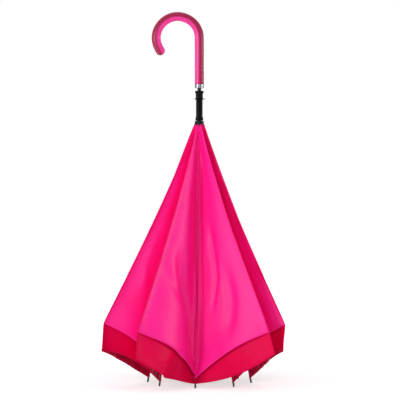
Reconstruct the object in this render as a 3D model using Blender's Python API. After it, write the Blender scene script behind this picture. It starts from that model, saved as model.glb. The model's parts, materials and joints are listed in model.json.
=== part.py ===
"""Inverted umbrella, folded and standing on its rib tips with the crook up.

The runner slides down the shaft and opens eight ribs, eight struts and
sixteen half gores of two cloth layers. Lengths are in metres, +Z points to the
crook, and the origin lies on the floor under the middle of the folded canopy.
"""
import math

import bmesh
import bpy
from mathutils import Matrix, Vector

MM = 0.001
DEG = math.radians(1.0)
UP = Vector((0.0, 0.0, 1.0))

# Frame: ribs, linkage and its two end positions
RIB_COUNT = 8
RIB_LENGTH = 585 * MM
FOLDED_ANGLE = 10.5 * DEG
OPEN_ANGLE = 123 * DEG
FIRST_RIB_TURN = -4.3 * DEG
HINGE_RADIUS = 8 * MM
STRUT_PIN_REACH = 200 * MM
STRUT_PIN_DROP = 6 * MM
OPEN_HUB_DISTANCE = 60 * MM
CLEARANCE = 0.3 * MM
OVERRUN = 6 * MM

# Ribs, struts and the wires that they turn on
RIB_RADIUS = 1.6 * MM
RIB_TIP_RADIUS = 2.2 * MM
RIB_TIP_LENGTH = 20 * MM
LINK_THICKNESS = 1.4 * MM
STRIP_WIDTH_SHARE = 0.9
EYE_RADIUS = 2 * MM
STRUT_FOOT_RADIUS = 1.6 * MM
PIN_RADIUS = 0.7 * MM
WIRE_RADIUS = 0.5 * MM

# Hubs
HUB_HEIGHT = 5.2 * MM
HUB_TOOTH_RADIUS = 10 * MM

# Shaft, ferrule and catches
SHAFT_RADIUS = 4.25 * MM
SHAFT_WALL = 0.8 * MM
FERRULE_RADIUS = 6.5 * MM
FERRULE_LENGTH = 26 * MM
FERRULE_CHAMFER = 1.2 * MM
FERRULE_TAPER = 0.6 * MM
CATCH_HEIGHT = 12 * MM
CATCH_THICKNESS = 1.6 * MM
CATCH_TRAVEL = 1.6 * MM
CATCH_TAIL = 1.1 * MM
CATCH_TURN = FIRST_RIB_TURN + 67.5 * DEG

# Runner, measured up from the rib hinge
RUNNER_HEIGHT = 68 * MM
RUNNER_RADIUS = 7.3 * MM
RUNNER_HEAD_RADIUS = 9.6 * MM
RUNNER_HEAD_HEIGHT = 7 * MM
RUNNER_NECK_RADIUS = 7.9 * MM
RUNNER_FLANGE_RADIUS = 12.8 * MM
RUNNER_FLANGE_HEIGHT = 50 * MM
RUNNER_FLANGE_THICKNESS = 2 * MM
RUNNER_BELL_RADIUS = 8.7 * MM
RUNNER_BELL_HEIGHT = 8 * MM

# Crook handle
GRIP_RADIUS = 10 * MM
CROOK_RADIUS = 47.4 * MM
CROOK_SWEEP = 216 * DEG
GRIP_STRAIGHT = 101 * MM
GRIP_SKIN = 2 * MM
COLLAR_HEIGHT = 9 * MM
COLLAR_CHAMFER = 0.9 * MM
RUNNER_PARK_GAP = 5.8 * MM

# Cloth: flat pattern of a gore, measured from the point where open ribs meet
CLOTH_THICKNESS = 0.6 * MM
LINING_START = 7 * MM
RAIN_START = 20 * MM
LINING_TIP_MARGIN = 19 * MM
LINING_CREASE = 498 * MM
RAIN_TIP_MARGIN = 10 * MM
RAIN_CREASE = 552 * MM
RAIN_LAYER_DROP = 1.8 * MM
FOLD_DEPTH = 9 * MM
CREASE_SPARE = 10 * MM
# Spare length of each gore's crease, as its folds hang, and how fast the hem rises to it
LINING_SPARE_SHARES = (1.6, 0.4, 0.0, 0.6, 0.6, 0.0, 0.3, 1.7)
RAIN_SPARE_SHARES = (1.2, 0.5, 0.0, 0.6, 0.6, 0.0, 0.8, 2.2)
LINING_HEM_POWER = 2.6
RAIN_HEM_POWER = 2.0
# How each gore shares its width between its two halves when it is folded
CREASE_SHARES = (0.556, 0.46, 0.558, 0.48, 0.53, 0.45, 0.538, 0.485)
# Depth of the broad fold and of the second, narrower one in each half gore
FOLD_SHARES = ((0.3, 0.2), (-0.6, 0.2), (-0.1, 0.2), (-0.4, 0.3), (0.6, 0.2), (-0.2, 0.1),
               (0.4, 0.3), (-0.5, 0.2), (0.5, 0.25), (-0.5, 0.3), (0.6, 0.2), (-0.4, 0.3),
               (0.5, 0.3), (0.5, -0.2), (-0.6, 0.25), (-0.1, -0.5))

# Facets
ROUND_SIDES = 18
CORE_SIDES = 9
SLIM_SIDES = 8
LINK_STEPS = 5
CROOK_STEPS = 20
DOME_STEPS = 3
DOME_REACH = 78 * DEG
CLOTH_COLUMNS = 6
CLOTH_ROWS = 6
SHARP_EDGE = 35 * DEG

HINGE_HEIGHT = RIB_LENGTH * math.cos(FOLDED_ANGLE)
GORE_TURN = 2 * math.pi / RIB_COUNT
BORE_RADIUS = SHAFT_RADIUS + CLEARANCE
HUB_TOP = WIRE_RADIUS + 2 * CLEARANCE
OPEN_APEX = HINGE_RADIUS / math.sin(OPEN_ANGLE)
FOLDED_APEX = HINGE_RADIUS / math.sin(FOLDED_ANGLE)


def strut_pin(angle):
    """Radius and height above the rib hinge of the strut's pin at a rib angle."""
    radius = (HINGE_RADIUS + STRUT_PIN_REACH * math.sin(angle)
              - STRUT_PIN_DROP * math.cos(angle))
    height = -STRUT_PIN_REACH * math.cos(angle) - STRUT_PIN_DROP * math.sin(angle)
    return radius, height


OPEN_PIN_RADIUS, OPEN_PIN_HEIGHT = strut_pin(OPEN_ANGLE)
FOLDED_PIN_RADIUS, FOLDED_PIN_HEIGHT = strut_pin(FOLDED_ANGLE)
STRUT_LENGTH = math.hypot(OPEN_PIN_RADIUS - HINGE_RADIUS, OPEN_HUB_DISTANCE + OPEN_PIN_HEIGHT)
STRUT_FOLDED_LEAN = math.asin((FOLDED_PIN_RADIUS - HINGE_RADIUS) / STRUT_LENGTH)
STRUT_OPEN_LEAN = math.asin((OPEN_PIN_RADIUS - HINGE_RADIUS) / STRUT_LENGTH)
STRUT_HUB_HEIGHT = (HINGE_HEIGHT + FOLDED_PIN_HEIGHT
                    - STRUT_LENGTH * math.cos(STRUT_FOLDED_LEAN))
RUNNER_TRAVEL = HINGE_HEIGHT - STRUT_HUB_HEIGHT - OPEN_HUB_DISTANCE
GRIP_BOTTOM = HINGE_HEIGHT + RUNNER_HEIGHT + RUNNER_PARK_GAP + COLLAR_HEIGHT
FERRULE_BOTTOM = STRUT_HUB_HEIGHT + HUB_TOP - HUB_HEIGHT - CLEARANCE - FERRULE_LENGTH


def outward(index):
    """Horizontal direction in which a rib leans out."""
    turn = FIRST_RIB_TURN + index * GORE_TURN
    return Vector((math.sin(turn), -math.cos(turn), 0.0))


def sideways(index):
    """Horizontal direction along a rib's hinge, towards the next rib."""
    return UP.cross(outward(index))


def along(index, angle):
    """Direction from a rib's hinge to its tip."""
    return outward(index) * math.sin(angle) - UP * math.cos(angle)


def outer_normal(index, angle):
    """Direction square to a rib, on the lining's side."""
    return outward(index) * math.cos(angle) + UP * math.sin(angle)


def half_angles(gore):
    """Flat angles of a gore's two halves."""
    whole = along(gore, OPEN_ANGLE).angle(along(gore + 1, OPEN_ANGLE))
    return whole * CREASE_SHARES[gore], whole * (1 - CREASE_SHARES[gore])


def folded_half(half):
    """Angle of a folded half gore, seen from the point where folded ribs meet."""
    return math.atan2(LINING_CREASE * math.sin(half),
                      LINING_CREASE * math.cos(half) - OPEN_APEX + FOLDED_APEX)


def folded_crease(gore):
    """Direction of a folded gore's crease from the point where folded ribs meet."""
    first, second = along(gore, FOLDED_ANGLE), along(gore + 1, FOLDED_ANGLE)
    cosines = [math.cos(folded_half(half)) for half in half_angles(gore)]
    between = first.dot(second)
    spread = 1 - between * between
    share = (cosines[0] - between * cosines[1]) / spread
    other = (cosines[1] - between * cosines[0]) / spread
    flat = first * share + second * other
    square = first.cross(second).normalized()
    if square.dot(outward(gore)) < 0:
        square = -square
    return flat + square * math.sqrt(1 - flat.length_squared)


def crease_opening(gore):
    """Angle between a folded gore's two halves at their crease."""
    crease = folded_crease(gore)
    faces = [along(rib, FOLDED_ANGLE).cross(crease) for rib in (gore, gore + 1)]
    return faces[0].angle(faces[1])


def folded_roll(gore, side):
    """Turn of a half gore round its rib, from sideways towards the lining's side."""
    rib = gore if side > 0 else gore + 1
    crease = folded_crease(gore)
    return math.atan2(crease.dot(outer_normal(rib, FOLDED_ANGLE)), side * crease.dot(sideways(rib)))


def open_roll():
    """Turn of a half gore round its rib when the canopy is a taut eight-sided dome."""
    neighbour = along(1, OPEN_ANGLE)
    return math.atan2(neighbour.dot(outer_normal(0, OPEN_ANGLE)), neighbour.dot(sideways(0)))


def crease_length(gore, rain_layer):
    """Length of a gore's crease from the point where open ribs meet to its hem."""
    if rain_layer:
        return RAIN_CREASE + CREASE_SPARE * RAIN_SPARE_SHARES[gore]
    return LINING_CREASE + CREASE_SPARE * LINING_SPARE_SHARES[gore]


def folded_corner(gore, reach):
    """Place of a folded crease's lower corner, from the shaft's axis on the floor."""
    apex = UP * (HINGE_HEIGHT + HINGE_RADIUS / math.tan(FOLDED_ANGLE))
    return apex + folded_crease(gore) * (reach + FOLDED_APEX - OPEN_APEX)


def canopy_middle():
    """Middle of the folded canopy's outline, from the shaft's axis."""
    corners = [folded_corner(gore, crease_length(gore, True)) for gore in range(RIB_COUNT)]
    xs = [corner.x for corner in corners]
    ys = [corner.y for corner in corners]
    return Vector(((min(xs) + max(xs)) / 2, (min(ys) + max(ys)) / 2, 0.0))


SHAFT_PLACE = -canopy_middle()


def clear_scene():
    """Remove every object of the scene."""
    for item in list(bpy.data.objects):
        bpy.data.objects.remove(item, do_unlink=True)


def make_material(name, colour, roughness, metallic=0.0):
    """Principled material of one colour."""
    material = bpy.data.materials.new(name)
    material.use_nodes = True
    shader = material.node_tree.nodes["Principled BSDF"]
    shader.inputs["Base Color"].default_value = (*colour, 1.0)
    shader.inputs["Roughness"].default_value = roughness
    shader.inputs["Metallic"].default_value = metallic
    material.diffuse_color = (*colour, 1.0)
    return material


def mesh_from(name, vertices, faces):
    """Closed mesh with its faces pointing out and its round parts smooth."""
    mesh = bpy.data.meshes.new(name)
    mesh.from_pydata([tuple(vertex) for vertex in vertices], [], faces)
    shape = bmesh.new()
    shape.from_mesh(mesh)
    bmesh.ops.recalc_face_normals(shape, faces=shape.faces)
    shape.to_mesh(mesh)
    shape.free()
    mesh.shade_smooth()
    mesh.set_sharp_from_angle(angle=SHARP_EDGE)
    return mesh


def add_object(name, mesh, material, parent, location=(0, 0, 0), rotation=(0, 0, 0)):
    """Place a mesh under a parent."""
    item = bpy.data.objects.new(name, mesh)
    bpy.context.scene.collection.objects.link(item)
    item.parent = parent
    item.location = location
    item.rotation_euler = rotation
    if material and not mesh.materials:
        mesh.materials.append(material)
    return item


def add_empty(name, parent=None, location=(0, 0, 0)):
    """Empty that carries other objects."""
    empty = bpy.data.objects.new(name, None)
    bpy.context.scene.collection.objects.link(empty)
    empty.parent = parent
    empty.location = location
    return empty


def skin_rings(rings, closed=False):
    """Faces between rings of equally many points, capped unless the loop is closed."""
    sides = len(rings[0])
    count = len(rings)
    faces = []
    for ring in range(count if closed else count - 1):
        low, high = ring * sides, (ring + 1) % count * sides
        for side in range(sides):
            after = (side + 1) % sides
            faces.append((low + side, low + after, high + after, high + side))
    if not closed:
        faces.append(tuple(range(sides - 1, -1, -1)))
        faces.append(tuple(range((count - 1) * sides, count * sides)))
    return [point for ring in rings for point in ring], faces


def turned(name, profile, sides=ROUND_SIDES, closed=False):
    """Turned mesh from (radius, height) points, a solid or a closed ring."""
    rings = []
    for radius, height in profile:
        turns = [2 * math.pi * step / sides for step in range(sides)]
        rings.append([Vector((radius * math.cos(turn), radius * math.sin(turn), height))
                      for turn in turns])
    return mesh_from(name, *skin_rings(rings, closed))


def wire_ring(name, radius):
    """Round wire bent into a ring."""
    profile = []
    for step in range(SLIM_SIDES):
        turn = 2 * math.pi * step / SLIM_SIDES
        profile.append((radius + WIRE_RADIUS * math.cos(turn), WIRE_RADIUS * math.sin(turn)))
    return turned(name, profile, closed=True)


def box_mesh(name, low, high):
    """Box between two corners."""
    corners = [Vector((x, y, z)) for z in (low[2], high[2]) for y in (low[1], high[1])
               for x in (low[0], high[0])]
    faces = [(0, 1, 3, 2), (4, 5, 7, 6), (0, 1, 5, 4), (2, 3, 7, 6), (0, 2, 6, 4), (1, 3, 7, 5)]
    return mesh_from(name, corners, faces)


def plate(name, outline, middle, thickness):
    """Plate across local Y from an outline of (x, z) points."""
    rings = [[Vector((x, middle + side * thickness / 2, z)) for x, z in outline]
             for side in (-1, 1)]
    return mesh_from(name, *skin_rings(rings))


def two_circle_outline(first, first_radius, second, second_radius, steps=LINK_STEPS):
    """Outline of a link: two round ends and the straight edges between them."""
    start, end = Vector(first), Vector(second)
    lean = math.atan2(end.y - start.y, end.x - start.x)
    wedge = math.acos((first_radius - second_radius) / (end - start).length)
    points = []
    for step in range(steps + 1):
        turn = lean + wedge + (2 * math.pi - 2 * wedge) * step / steps
        points.append((start.x + first_radius * math.cos(turn),
                       start.y + first_radius * math.sin(turn)))
    for step in range(steps + 1):
        turn = lean - wedge + 2 * wedge * step / steps
        points.append((end.x + second_radius * math.cos(turn),
                       end.y + second_radius * math.sin(turn)))
    return points


def cross_pin(name, place, radius, start, end, sides=SLIM_SIDES):
    """Round pin along local Y at an (x, z) place."""
    turns = [2 * math.pi * step / sides for step in range(sides)]
    rings = [[Vector((place[0] + radius * math.cos(turn), y, place[1] + radius * math.sin(turn)))
              for turn in turns] for y in (start, end)]
    return mesh_from(name, *skin_rings(rings))


def combined(name, mesh, steps):
    """Mesh after joining or cutting it with others, in order."""
    body = bpy.data.objects.new(name, mesh)
    bpy.context.scene.collection.objects.link(body)
    helpers = [body]
    for operation, other in steps:
        tool = bpy.data.objects.new(name + "_tool", other)
        bpy.context.scene.collection.objects.link(tool)
        modifier = body.modifiers.new(operation.title(), "BOOLEAN")
        modifier.operation = operation
        modifier.solver = "EXACT"
        modifier.object = tool
        helpers.append(tool)
    view_layer = bpy.context.view_layer
    view_layer.update()
    result = bpy.data.meshes.new_from_object(body.evaluated_get(view_layer.depsgraph))
    result.name = name
    for helper in helpers:
        bpy.data.objects.remove(helper, do_unlink=True)
    return result


def joined_boxes(name, low, high, turns):
    """Copies of a box turned round the shaft, as one cutting mesh."""
    base = box_mesh(name + "_one", low, high)
    vertices, faces = [], []
    for turn in turns:
        start = len(vertices)
        vertices += [Matrix.Rotation(turn, 4, "Z") @ vertex.co for vertex in base.vertices]
        faces += [tuple(start + index for index in face.vertices) for face in base.polygons]
    return mesh_from(name, vertices, faces)


def rib_turns():
    """Turns from +X to each rib."""
    return [FIRST_RIB_TURN - math.pi / 2 + index * GORE_TURN for index in range(RIB_COUNT)]


def hub_mesh(name):
    """Toothed hub with a slot for each link and a groove for their wire."""
    half_wire = WIRE_RADIUS + CLEARANCE
    profile = [(BORE_RADIUS, HUB_TOP - HUB_HEIGHT), (HUB_TOOTH_RADIUS, HUB_TOP - HUB_HEIGHT),
               (HUB_TOOTH_RADIUS, HUB_TOP), (HINGE_RADIUS + half_wire, HUB_TOP),
               (HINGE_RADIUS + half_wire, -half_wire), (HINGE_RADIUS - half_wire, -half_wire),
               (HINGE_RADIUS - half_wire, HUB_TOP), (BORE_RADIUS, HUB_TOP)]
    slot_width = LINK_THICKNESS + 2 * CLEARANCE
    core = HINGE_RADIUS - EYE_RADIUS - CLEARANCE
    slots = joined_boxes(name + "_slots", (core, -slot_width / 2, -HUB_HEIGHT - OVERRUN),
                         (HUB_TOOTH_RADIUS + OVERRUN, slot_width / 2, HUB_HEIGHT + OVERRUN),
                         rib_turns())
    return combined(name, turned(name + "_blank", profile, closed=True), [("DIFFERENCE", slots)])


def keyway(name, height):
    """Cutter for the channel in which a runner passes the catches."""
    half_width = CATCH_THICKNESS / 2 + CLEARANCE
    reach = SHAFT_RADIUS + CATCH_TRAVEL + CLEARANCE
    return joined_boxes(name + "_keyway", (0, -half_width, -height), (reach, half_width, height),
                        [CATCH_TURN - math.pi / 2])


def rib_mesh():
    """Rib with its eye, its tip cut level with the floor, and the strut's lug and pin."""
    start = math.hypot(HUB_TOOTH_RADIUS - HINGE_RADIUS, HUB_HEIGHT) + CLEARANCE
    shoulder = RIB_LENGTH - RIB_TIP_LENGTH
    stations = [(start, RIB_RADIUS), (shoulder, RIB_RADIUS),
                (shoulder + RIB_RADIUS, RIB_TIP_RADIUS),
                (RIB_LENGTH - RIB_TIP_LENGTH / 2, RIB_TIP_RADIUS), (RIB_LENGTH, RIB_RADIUS)]
    rings = []
    for reach, radius in stations:
        ring = []
        for step in range(SLIM_SIDES):
            turn = 2 * math.pi * (step + 0.5) / SLIM_SIDES
            x, y = radius * math.cos(turn), radius * math.sin(turn)
            level = x * math.tan(FOLDED_ANGLE) if reach == RIB_LENGTH else 0.0
            ring.append(Vector((x, y, -reach - level)))
        rings.append(ring)
    rod = mesh_from("rib_rod", *skin_rings(rings))
    wire_hole = WIRE_RADIUS + CLEARANCE
    strip = RIB_RADIUS * STRIP_WIDTH_SHARE
    eye = plate("rib_eye", two_circle_outline((0, 0), EYE_RADIUS, (0, -start - RIB_RADIUS),
                                              strip), 0.0, LINK_THICKNESS)
    hole = cross_pin("rib_hole", (0, 0), wire_hole, -EYE_RADIUS, EYE_RADIUS)
    pin_place = (-STRUT_PIN_DROP, -STRUT_PIN_REACH)
    inner = LINK_THICKNESS / 2 + CLEARANCE
    lug_thickness = LINK_THICKNESS / 2
    lug = plate("rib_lug", two_circle_outline((0, -STRUT_PIN_REACH), strip,
                                              pin_place, EYE_RADIUS),
                inner + lug_thickness / 2, lug_thickness)
    pin = cross_pin("rib_pin", pin_place, PIN_RADIUS, -inner, inner + lug_thickness / 2)
    return combined("rib", rod, [("UNION", eye), ("DIFFERENCE", hole), ("UNION", lug),
                                 ("UNION", pin)])


def strut_mesh():
    """Flat strut: an eye on the rib's pin, and a foot that rests outside the wire."""
    foot = WIRE_RADIUS + CLEARANCE + STRUT_FOOT_RADIUS
    bar = plate("strut_bar", two_circle_outline((0, 0), EYE_RADIUS, (foot, -STRUT_LENGTH),
                                                STRUT_FOOT_RADIUS), 0.0, LINK_THICKNESS)
    hole = cross_pin("strut_hole", (0, 0), PIN_RADIUS + CLEARANCE, -EYE_RADIUS, EYE_RADIUS)
    return combined("strut", bar, [("DIFFERENCE", hole)])


def cloth_fold(down, across, half, shares):
    """How far folded cloth stands off its flat pattern."""
    edge = (down + OPEN_APEX) * math.tan(half)
    place = min(max(across / edge, 0.0), 1.0)
    reach = min(max(down / LINING_CREASE, 0.0), 1.0)
    broad = shares[0] * math.sin(math.pi * place)
    narrow = shares[1] * math.sin(2 * math.pi * place)
    return FOLD_DEPTH * reach * reach * (1 - place * place) * (broad + narrow)


def cloth_edge(down, half, inset):
    """Width of a half gore: up to its open crease, and inside its folded crease."""
    open_edge = (down + OPEN_APEX) * math.tan(half) - CLEARANCE
    folded_edge = (down + FOLDED_APEX) * math.tan(folded_half(half)) - inset
    return min(open_edge, folded_edge)


def half_gore_mesh(name, gore, side, rain_layer, columns=CLOTH_COLUMNS, rows=CLOTH_ROWS):
    """Half of a gore in its flat pattern, with its folds, from its rib to its crease."""
    half = half_angles(gore)[0 if side > 0 else 1]
    crease = crease_length(gore, rain_layer)
    tip_margin = RAIN_TIP_MARGIN if rain_layer else LINING_TIP_MARGIN
    start = RAIN_START if rain_layer else LINING_START
    power = RAIN_HEM_POWER if rain_layer else LINING_HEM_POWER
    drop = RAIN_LAYER_DROP if rain_layer else 0.0
    inset = (drop + CLOTH_THICKNESS / 2 + 2 * CLEARANCE) / math.tan(crease_opening(gore) / 2)
    shares = FOLD_SHARES[2 * gore + (0 if side > 0 else 1)]
    rib_edge = RIB_TIP_RADIUS + CLEARANCE
    grids = []
    for level in (-drop - CLOTH_THICKNESS / 2, -drop + CLOTH_THICKNESS / 2):
        grid = []
        for row in range(rows + 1):
            line = []
            for column in range(columns + 1):
                slack = (1 - column / columns) ** power
                hem = crease + (RIB_LENGTH - tip_margin + OPEN_APEX - crease) * slack
                hem_down = hem * math.cos(half * column / columns) - OPEN_APEX
                down = start + (hem_down - start) * row / rows
                edge = cloth_edge(down, half, inset)
                across = rib_edge + (edge - rib_edge) * column / columns
                stand = level + cloth_fold(down, across, half, shares)
                line.append(Vector((stand, side * across, -down)))
            grid.append(line)
        grids.append(grid)
    return mesh_from(name, *slab_faces(grids, rows, columns))


def slab_faces(grids, rows, columns):
    """Vertices and faces of a thin slab between two grids of points."""
    width = columns + 1
    layer = (rows + 1) * width
    faces = []
    for row in range(rows):
        for column in range(columns):
            corner = row * width + column
            quad = (corner, corner + 1, corner + width + 1, corner + width)
            faces.append(quad)
            faces.append(tuple(layer + index for index in reversed(quad)))
    rim = [column for column in range(columns)]
    rim += [row * width + columns for row in range(rows)]
    rim += [rows * width + column for column in range(columns, 0, -1)]
    rim += [row * width for row in range(rows, 0, -1)]
    for index, start in enumerate(rim):
        end = rim[(index + 1) % len(rim)]
        faces.append((start, end, layer + end, layer + start))
    return [point for grid in grids for line in grid for point in line], faces


def crook_frames():
    """Centre, sideways and forward directions along the handle, from its foot to its tip."""
    frames = []
    for height in (0.0, GRIP_STRAIGHT / 2):
        frames.append((Vector((0, 0, GRIP_BOTTOM + height)), Vector((1, 0, 0)), UP.copy()))
    for step in range(CROOK_STEPS + 1):
        turn = CROOK_SWEEP * step / CROOK_STEPS
        centre = Vector((CROOK_RADIUS * (math.cos(turn) - 1), 0,
                         GRIP_BOTTOM + GRIP_STRAIGHT + CROOK_RADIUS * math.sin(turn)))
        frames.append((centre, Vector((math.cos(turn), 0, math.sin(turn))),
                       Vector((-math.sin(turn), 0, math.cos(turn)))))
    return frames


def swept_rings(frames, radius, sides):
    """Rings of one radius along the handle's frames."""
    rings = []
    for centre, right, _ in frames:
        turns = [2 * math.pi * step / sides for step in range(sides)]
        rings.append([centre + right * (radius * math.cos(turn))
                      + Vector((0, radius * math.sin(turn), 0)) for turn in turns])
    return rings


def grip_cover_mesh():
    """Leather cover: a tube round the core, closed at the tip by a dome."""
    frames = crook_frames()
    outside = swept_rings(frames, GRIP_RADIUS, ROUND_SIDES)
    centre, right, forward = frames[-1]
    for step in range(1, DOME_STEPS + 1):
        turn = DOME_REACH * step / DOME_STEPS
        frame = (centre + forward * GRIP_RADIUS * math.sin(turn), right, forward)
        outside += swept_rings([frame], GRIP_RADIUS * math.cos(turn), ROUND_SIDES)
    inside = swept_rings(frames, GRIP_RADIUS - GRIP_SKIN, ROUND_SIDES)
    return mesh_from("grip_cover", *skin_rings(inside[::-1] + outside))


def grip_core_mesh():
    """Core of the handle inside its cover."""
    radius = GRIP_RADIUS - GRIP_SKIN - CLEARANCE
    rings = swept_rings(crook_frames()[:-1], radius, CORE_SIDES)
    return mesh_from("grip_core", *skin_rings(rings))


def runner_mesh():
    """Runner: bell over the rib hub, sleeve, thumb flange, neck and flared head."""
    foot = EYE_RADIUS + CLEARANCE
    flare = RUNNER_BELL_RADIUS - RUNNER_RADIUS
    flange_half = RUNNER_FLANGE_THICKNESS / 2
    head = RUNNER_HEIGHT - RUNNER_HEAD_HEIGHT
    profile = [(BORE_RADIUS, foot), (RUNNER_RADIUS, foot), (RUNNER_BELL_RADIUS, foot + flare),
               (RUNNER_BELL_RADIUS, RUNNER_BELL_HEIGHT),
               (RUNNER_RADIUS, RUNNER_BELL_HEIGHT + flare),
               (RUNNER_RADIUS, RUNNER_FLANGE_HEIGHT - flange_half),
               (RUNNER_FLANGE_RADIUS, RUNNER_FLANGE_HEIGHT - flange_half / 2),
               (RUNNER_FLANGE_RADIUS, RUNNER_FLANGE_HEIGHT + flange_half / 2),
               (RUNNER_NECK_RADIUS, RUNNER_FLANGE_HEIGHT + flange_half),
               (RUNNER_NECK_RADIUS, head), (RUNNER_HEAD_RADIUS, head + RUNNER_HEAD_HEIGHT / 2),
               (RUNNER_HEAD_RADIUS, RUNNER_HEIGHT - flange_half),
               (RUNNER_HEAD_RADIUS - flange_half, RUNNER_HEIGHT), (BORE_RADIUS, RUNNER_HEIGHT)]
    blank = turned("runner_blank", profile, closed=True)
    return combined("runner_sleeve", blank, [("DIFFERENCE", keyway("runner", RUNNER_HEIGHT + OVERRUN))])


def catch_mesh():
    """Catch plate: a blade inside the shaft with a sloped nose outside it."""
    nose = SHAFT_RADIUS + CATCH_TRAVEL
    half = CATCH_HEIGHT / 2
    outline = [(-CATCH_TAIL, -half), (SHAFT_RADIUS, -half), (nose, -half + CATCH_TRAVEL),
               (nose, half - CATCH_TRAVEL), (SHAFT_RADIUS, half), (-CATCH_TAIL, half)]
    return plate("catch", outline, 0.0, CATCH_THICKNESS)


def catch_heights():
    """Heights of the catch for the open canopy and of the one for the folded canopy."""
    gap = CATCH_HEIGHT / 2 + 2 * CLEARANCE
    opened = HINGE_HEIGHT - RUNNER_TRAVEL + RUNNER_HEIGHT + gap
    folded = HINGE_HEIGHT - HUB_HEIGHT - gap
    return opened, folded


def shaft_mesh():
    """Shaft tube with a slot for each catch."""
    low = FERRULE_BOTTOM + FERRULE_LENGTH / 2
    high = GRIP_BOTTOM - CLEARANCE
    bore = SHAFT_RADIUS - SHAFT_WALL
    profile = [(bore, low), (SHAFT_RADIUS, low), (SHAFT_RADIUS, high), (bore, high)]
    half_width = CATCH_THICKNESS / 2 + CLEARANCE
    half_height = CATCH_HEIGHT / 2 + CLEARANCE
    cuts = []
    for height in catch_heights():
        cut = joined_boxes("shaft_slot", (0, -half_width, height - half_height),
                           (SHAFT_RADIUS + OVERRUN, half_width, height + half_height),
                           [CATCH_TURN - math.pi / 2])
        cuts.append(("DIFFERENCE", cut))
    return combined("shaft_tube", turned("shaft_blank", profile, closed=True), cuts)


def ferrule_mesh():
    """Ferrule cap, a thimble over the shaft's end with a flat face below."""
    seat = FERRULE_LENGTH / 2 - CLEARANCE
    profile = [(FERRULE_RADIUS - FERRULE_CHAMFER, 0), (FERRULE_RADIUS, FERRULE_CHAMFER),
               (FERRULE_RADIUS, FERRULE_LENGTH / 2),
               (FERRULE_RADIUS - FERRULE_TAPER, FERRULE_LENGTH),
               (BORE_RADIUS, FERRULE_LENGTH), (BORE_RADIUS, seat)]
    return turned("ferrule_cap", profile)


def collar_mesh():
    """Bright collar between the shaft and the grip."""
    edge = COLLAR_CHAMFER
    top = COLLAR_HEIGHT - CLEARANCE
    profile = [(BORE_RADIUS, 0), (GRIP_RADIUS - edge, 0), (GRIP_RADIUS, edge),
               (GRIP_RADIUS, top - edge), (GRIP_RADIUS - edge, top), (BORE_RADIUS, top)]
    return turned("grip_collar", profile, closed=True)


def add_shaft_parts(root, paints):
    """Shaft, ferrule, strut hub and wire, catches, collar and crook handle."""
    add_object("shaft_tube", shaft_mesh(), paints["steel"], root)
    add_object("ferrule_cap", ferrule_mesh(), paints["plastic"], root, (0, 0, FERRULE_BOTTOM))
    hub_place = (0, 0, STRUT_HUB_HEIGHT)
    add_object("strut_hub", hub_mesh("strut_hub"), paints["plastic"], root, hub_place)
    add_object("strut_wire", wire_ring("strut_wire", HINGE_RADIUS), paints["steel"], root,
               hub_place)
    add_object("grip_collar", collar_mesh(), paints["chrome"], root,
               (0, 0, GRIP_BOTTOM - COLLAR_HEIGHT))
    add_object("grip_core", grip_core_mesh(), paints["core"], root)
    add_object("grip_cover", grip_cover_mesh(), paints["leather"], root)
    blade = catch_mesh()
    for name, height in zip(("lower_catch", "upper_catch"), catch_heights()):
        add_object(name, blade, paints["steel"], root, (0, 0, height),
                   (0, 0, CATCH_TURN - math.pi / 2))


def add_runner_parts(runner, paints):
    """Runner sleeve, rib hub and the wire that holds the ribs."""
    add_object("runner_sleeve", runner_mesh(), paints["plastic"], runner)
    hub = combined("rib_hub", hub_mesh("rib_hub"), [("DIFFERENCE", keyway("hub", HUB_HEIGHT + OVERRUN))])
    add_object("rib_hub", hub, paints["plastic"], runner)
    add_object("rib_wire", wire_ring("rib_wire", HINGE_RADIUS), paints["steel"], runner)


def add_canopy(runner, paints):
    """Ribs on the runner, and a strut and four cloth pieces on each rib."""
    rib_shape, strut_shape = rib_mesh(), strut_mesh()
    ribs = []
    for index, turn in enumerate(rib_turns()):
        rib = add_object(f"rib_{index + 1}", rib_shape, paints["rib"], runner,
                         outward(index) * HINGE_RADIUS, (0, -FOLDED_ANGLE, turn))
        add_object(f"strut_{index + 1}", strut_shape, paints["rib"], rib,
                   (-STRUT_PIN_DROP, 0, -STRUT_PIN_REACH),
                   (0, FOLDED_ANGLE + STRUT_FOLDED_LEAN, 0))
        ribs.append(rib)
    for gore in range(RIB_COUNT):
        for side, word in ((1, "left"), (-1, "right")):
            rib = ribs[gore if side > 0 else (gore + 1) % RIB_COUNT]
            roll = (0, 0, -side * folded_roll(gore, side))
            for rain_layer, layer in ((False, "lining"), (True, "rain")):
                name = f"{layer}_{gore + 1}_{word}"
                add_object(name, half_gore_mesh(name, gore, side, rain_layer),
                           paints[layer], rib, (0, 0, 0), roll)


def build():
    """Make the whole umbrella."""
    clear_scene()
    paints = {
        "lining": make_material("lining_cloth", (1.0, 0.045, 0.31), 0.55),
        "rain": make_material("rain_cloth", (0.76, 0.0, 0.09), 0.55),
        "leather": make_material("leather_cover", (0.87, 0.025, 0.26), 0.4),
        "core": make_material("grip_core", (0.05, 0.05, 0.05), 0.6),
        "plastic": make_material("black_plastic", (0.012, 0.012, 0.013), 0.35),
        "rib": make_material("black_fibreglass", (0.02, 0.02, 0.022), 0.45),
        "steel": make_material("dark_steel", (0.09, 0.1, 0.11), 0.3, 1.0),
        "chrome": make_material("chrome", (0.8, 0.8, 0.82), 0.12, 1.0),
    }
    root = add_empty("shaft_axis", None, SHAFT_PLACE)
    runner = add_empty("runner_axis", root, (0, 0, HINGE_HEIGHT))
    add_shaft_parts(root, paints)
    add_runner_parts(runner, paints)
    add_canopy(runner, paints)


build()
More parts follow.
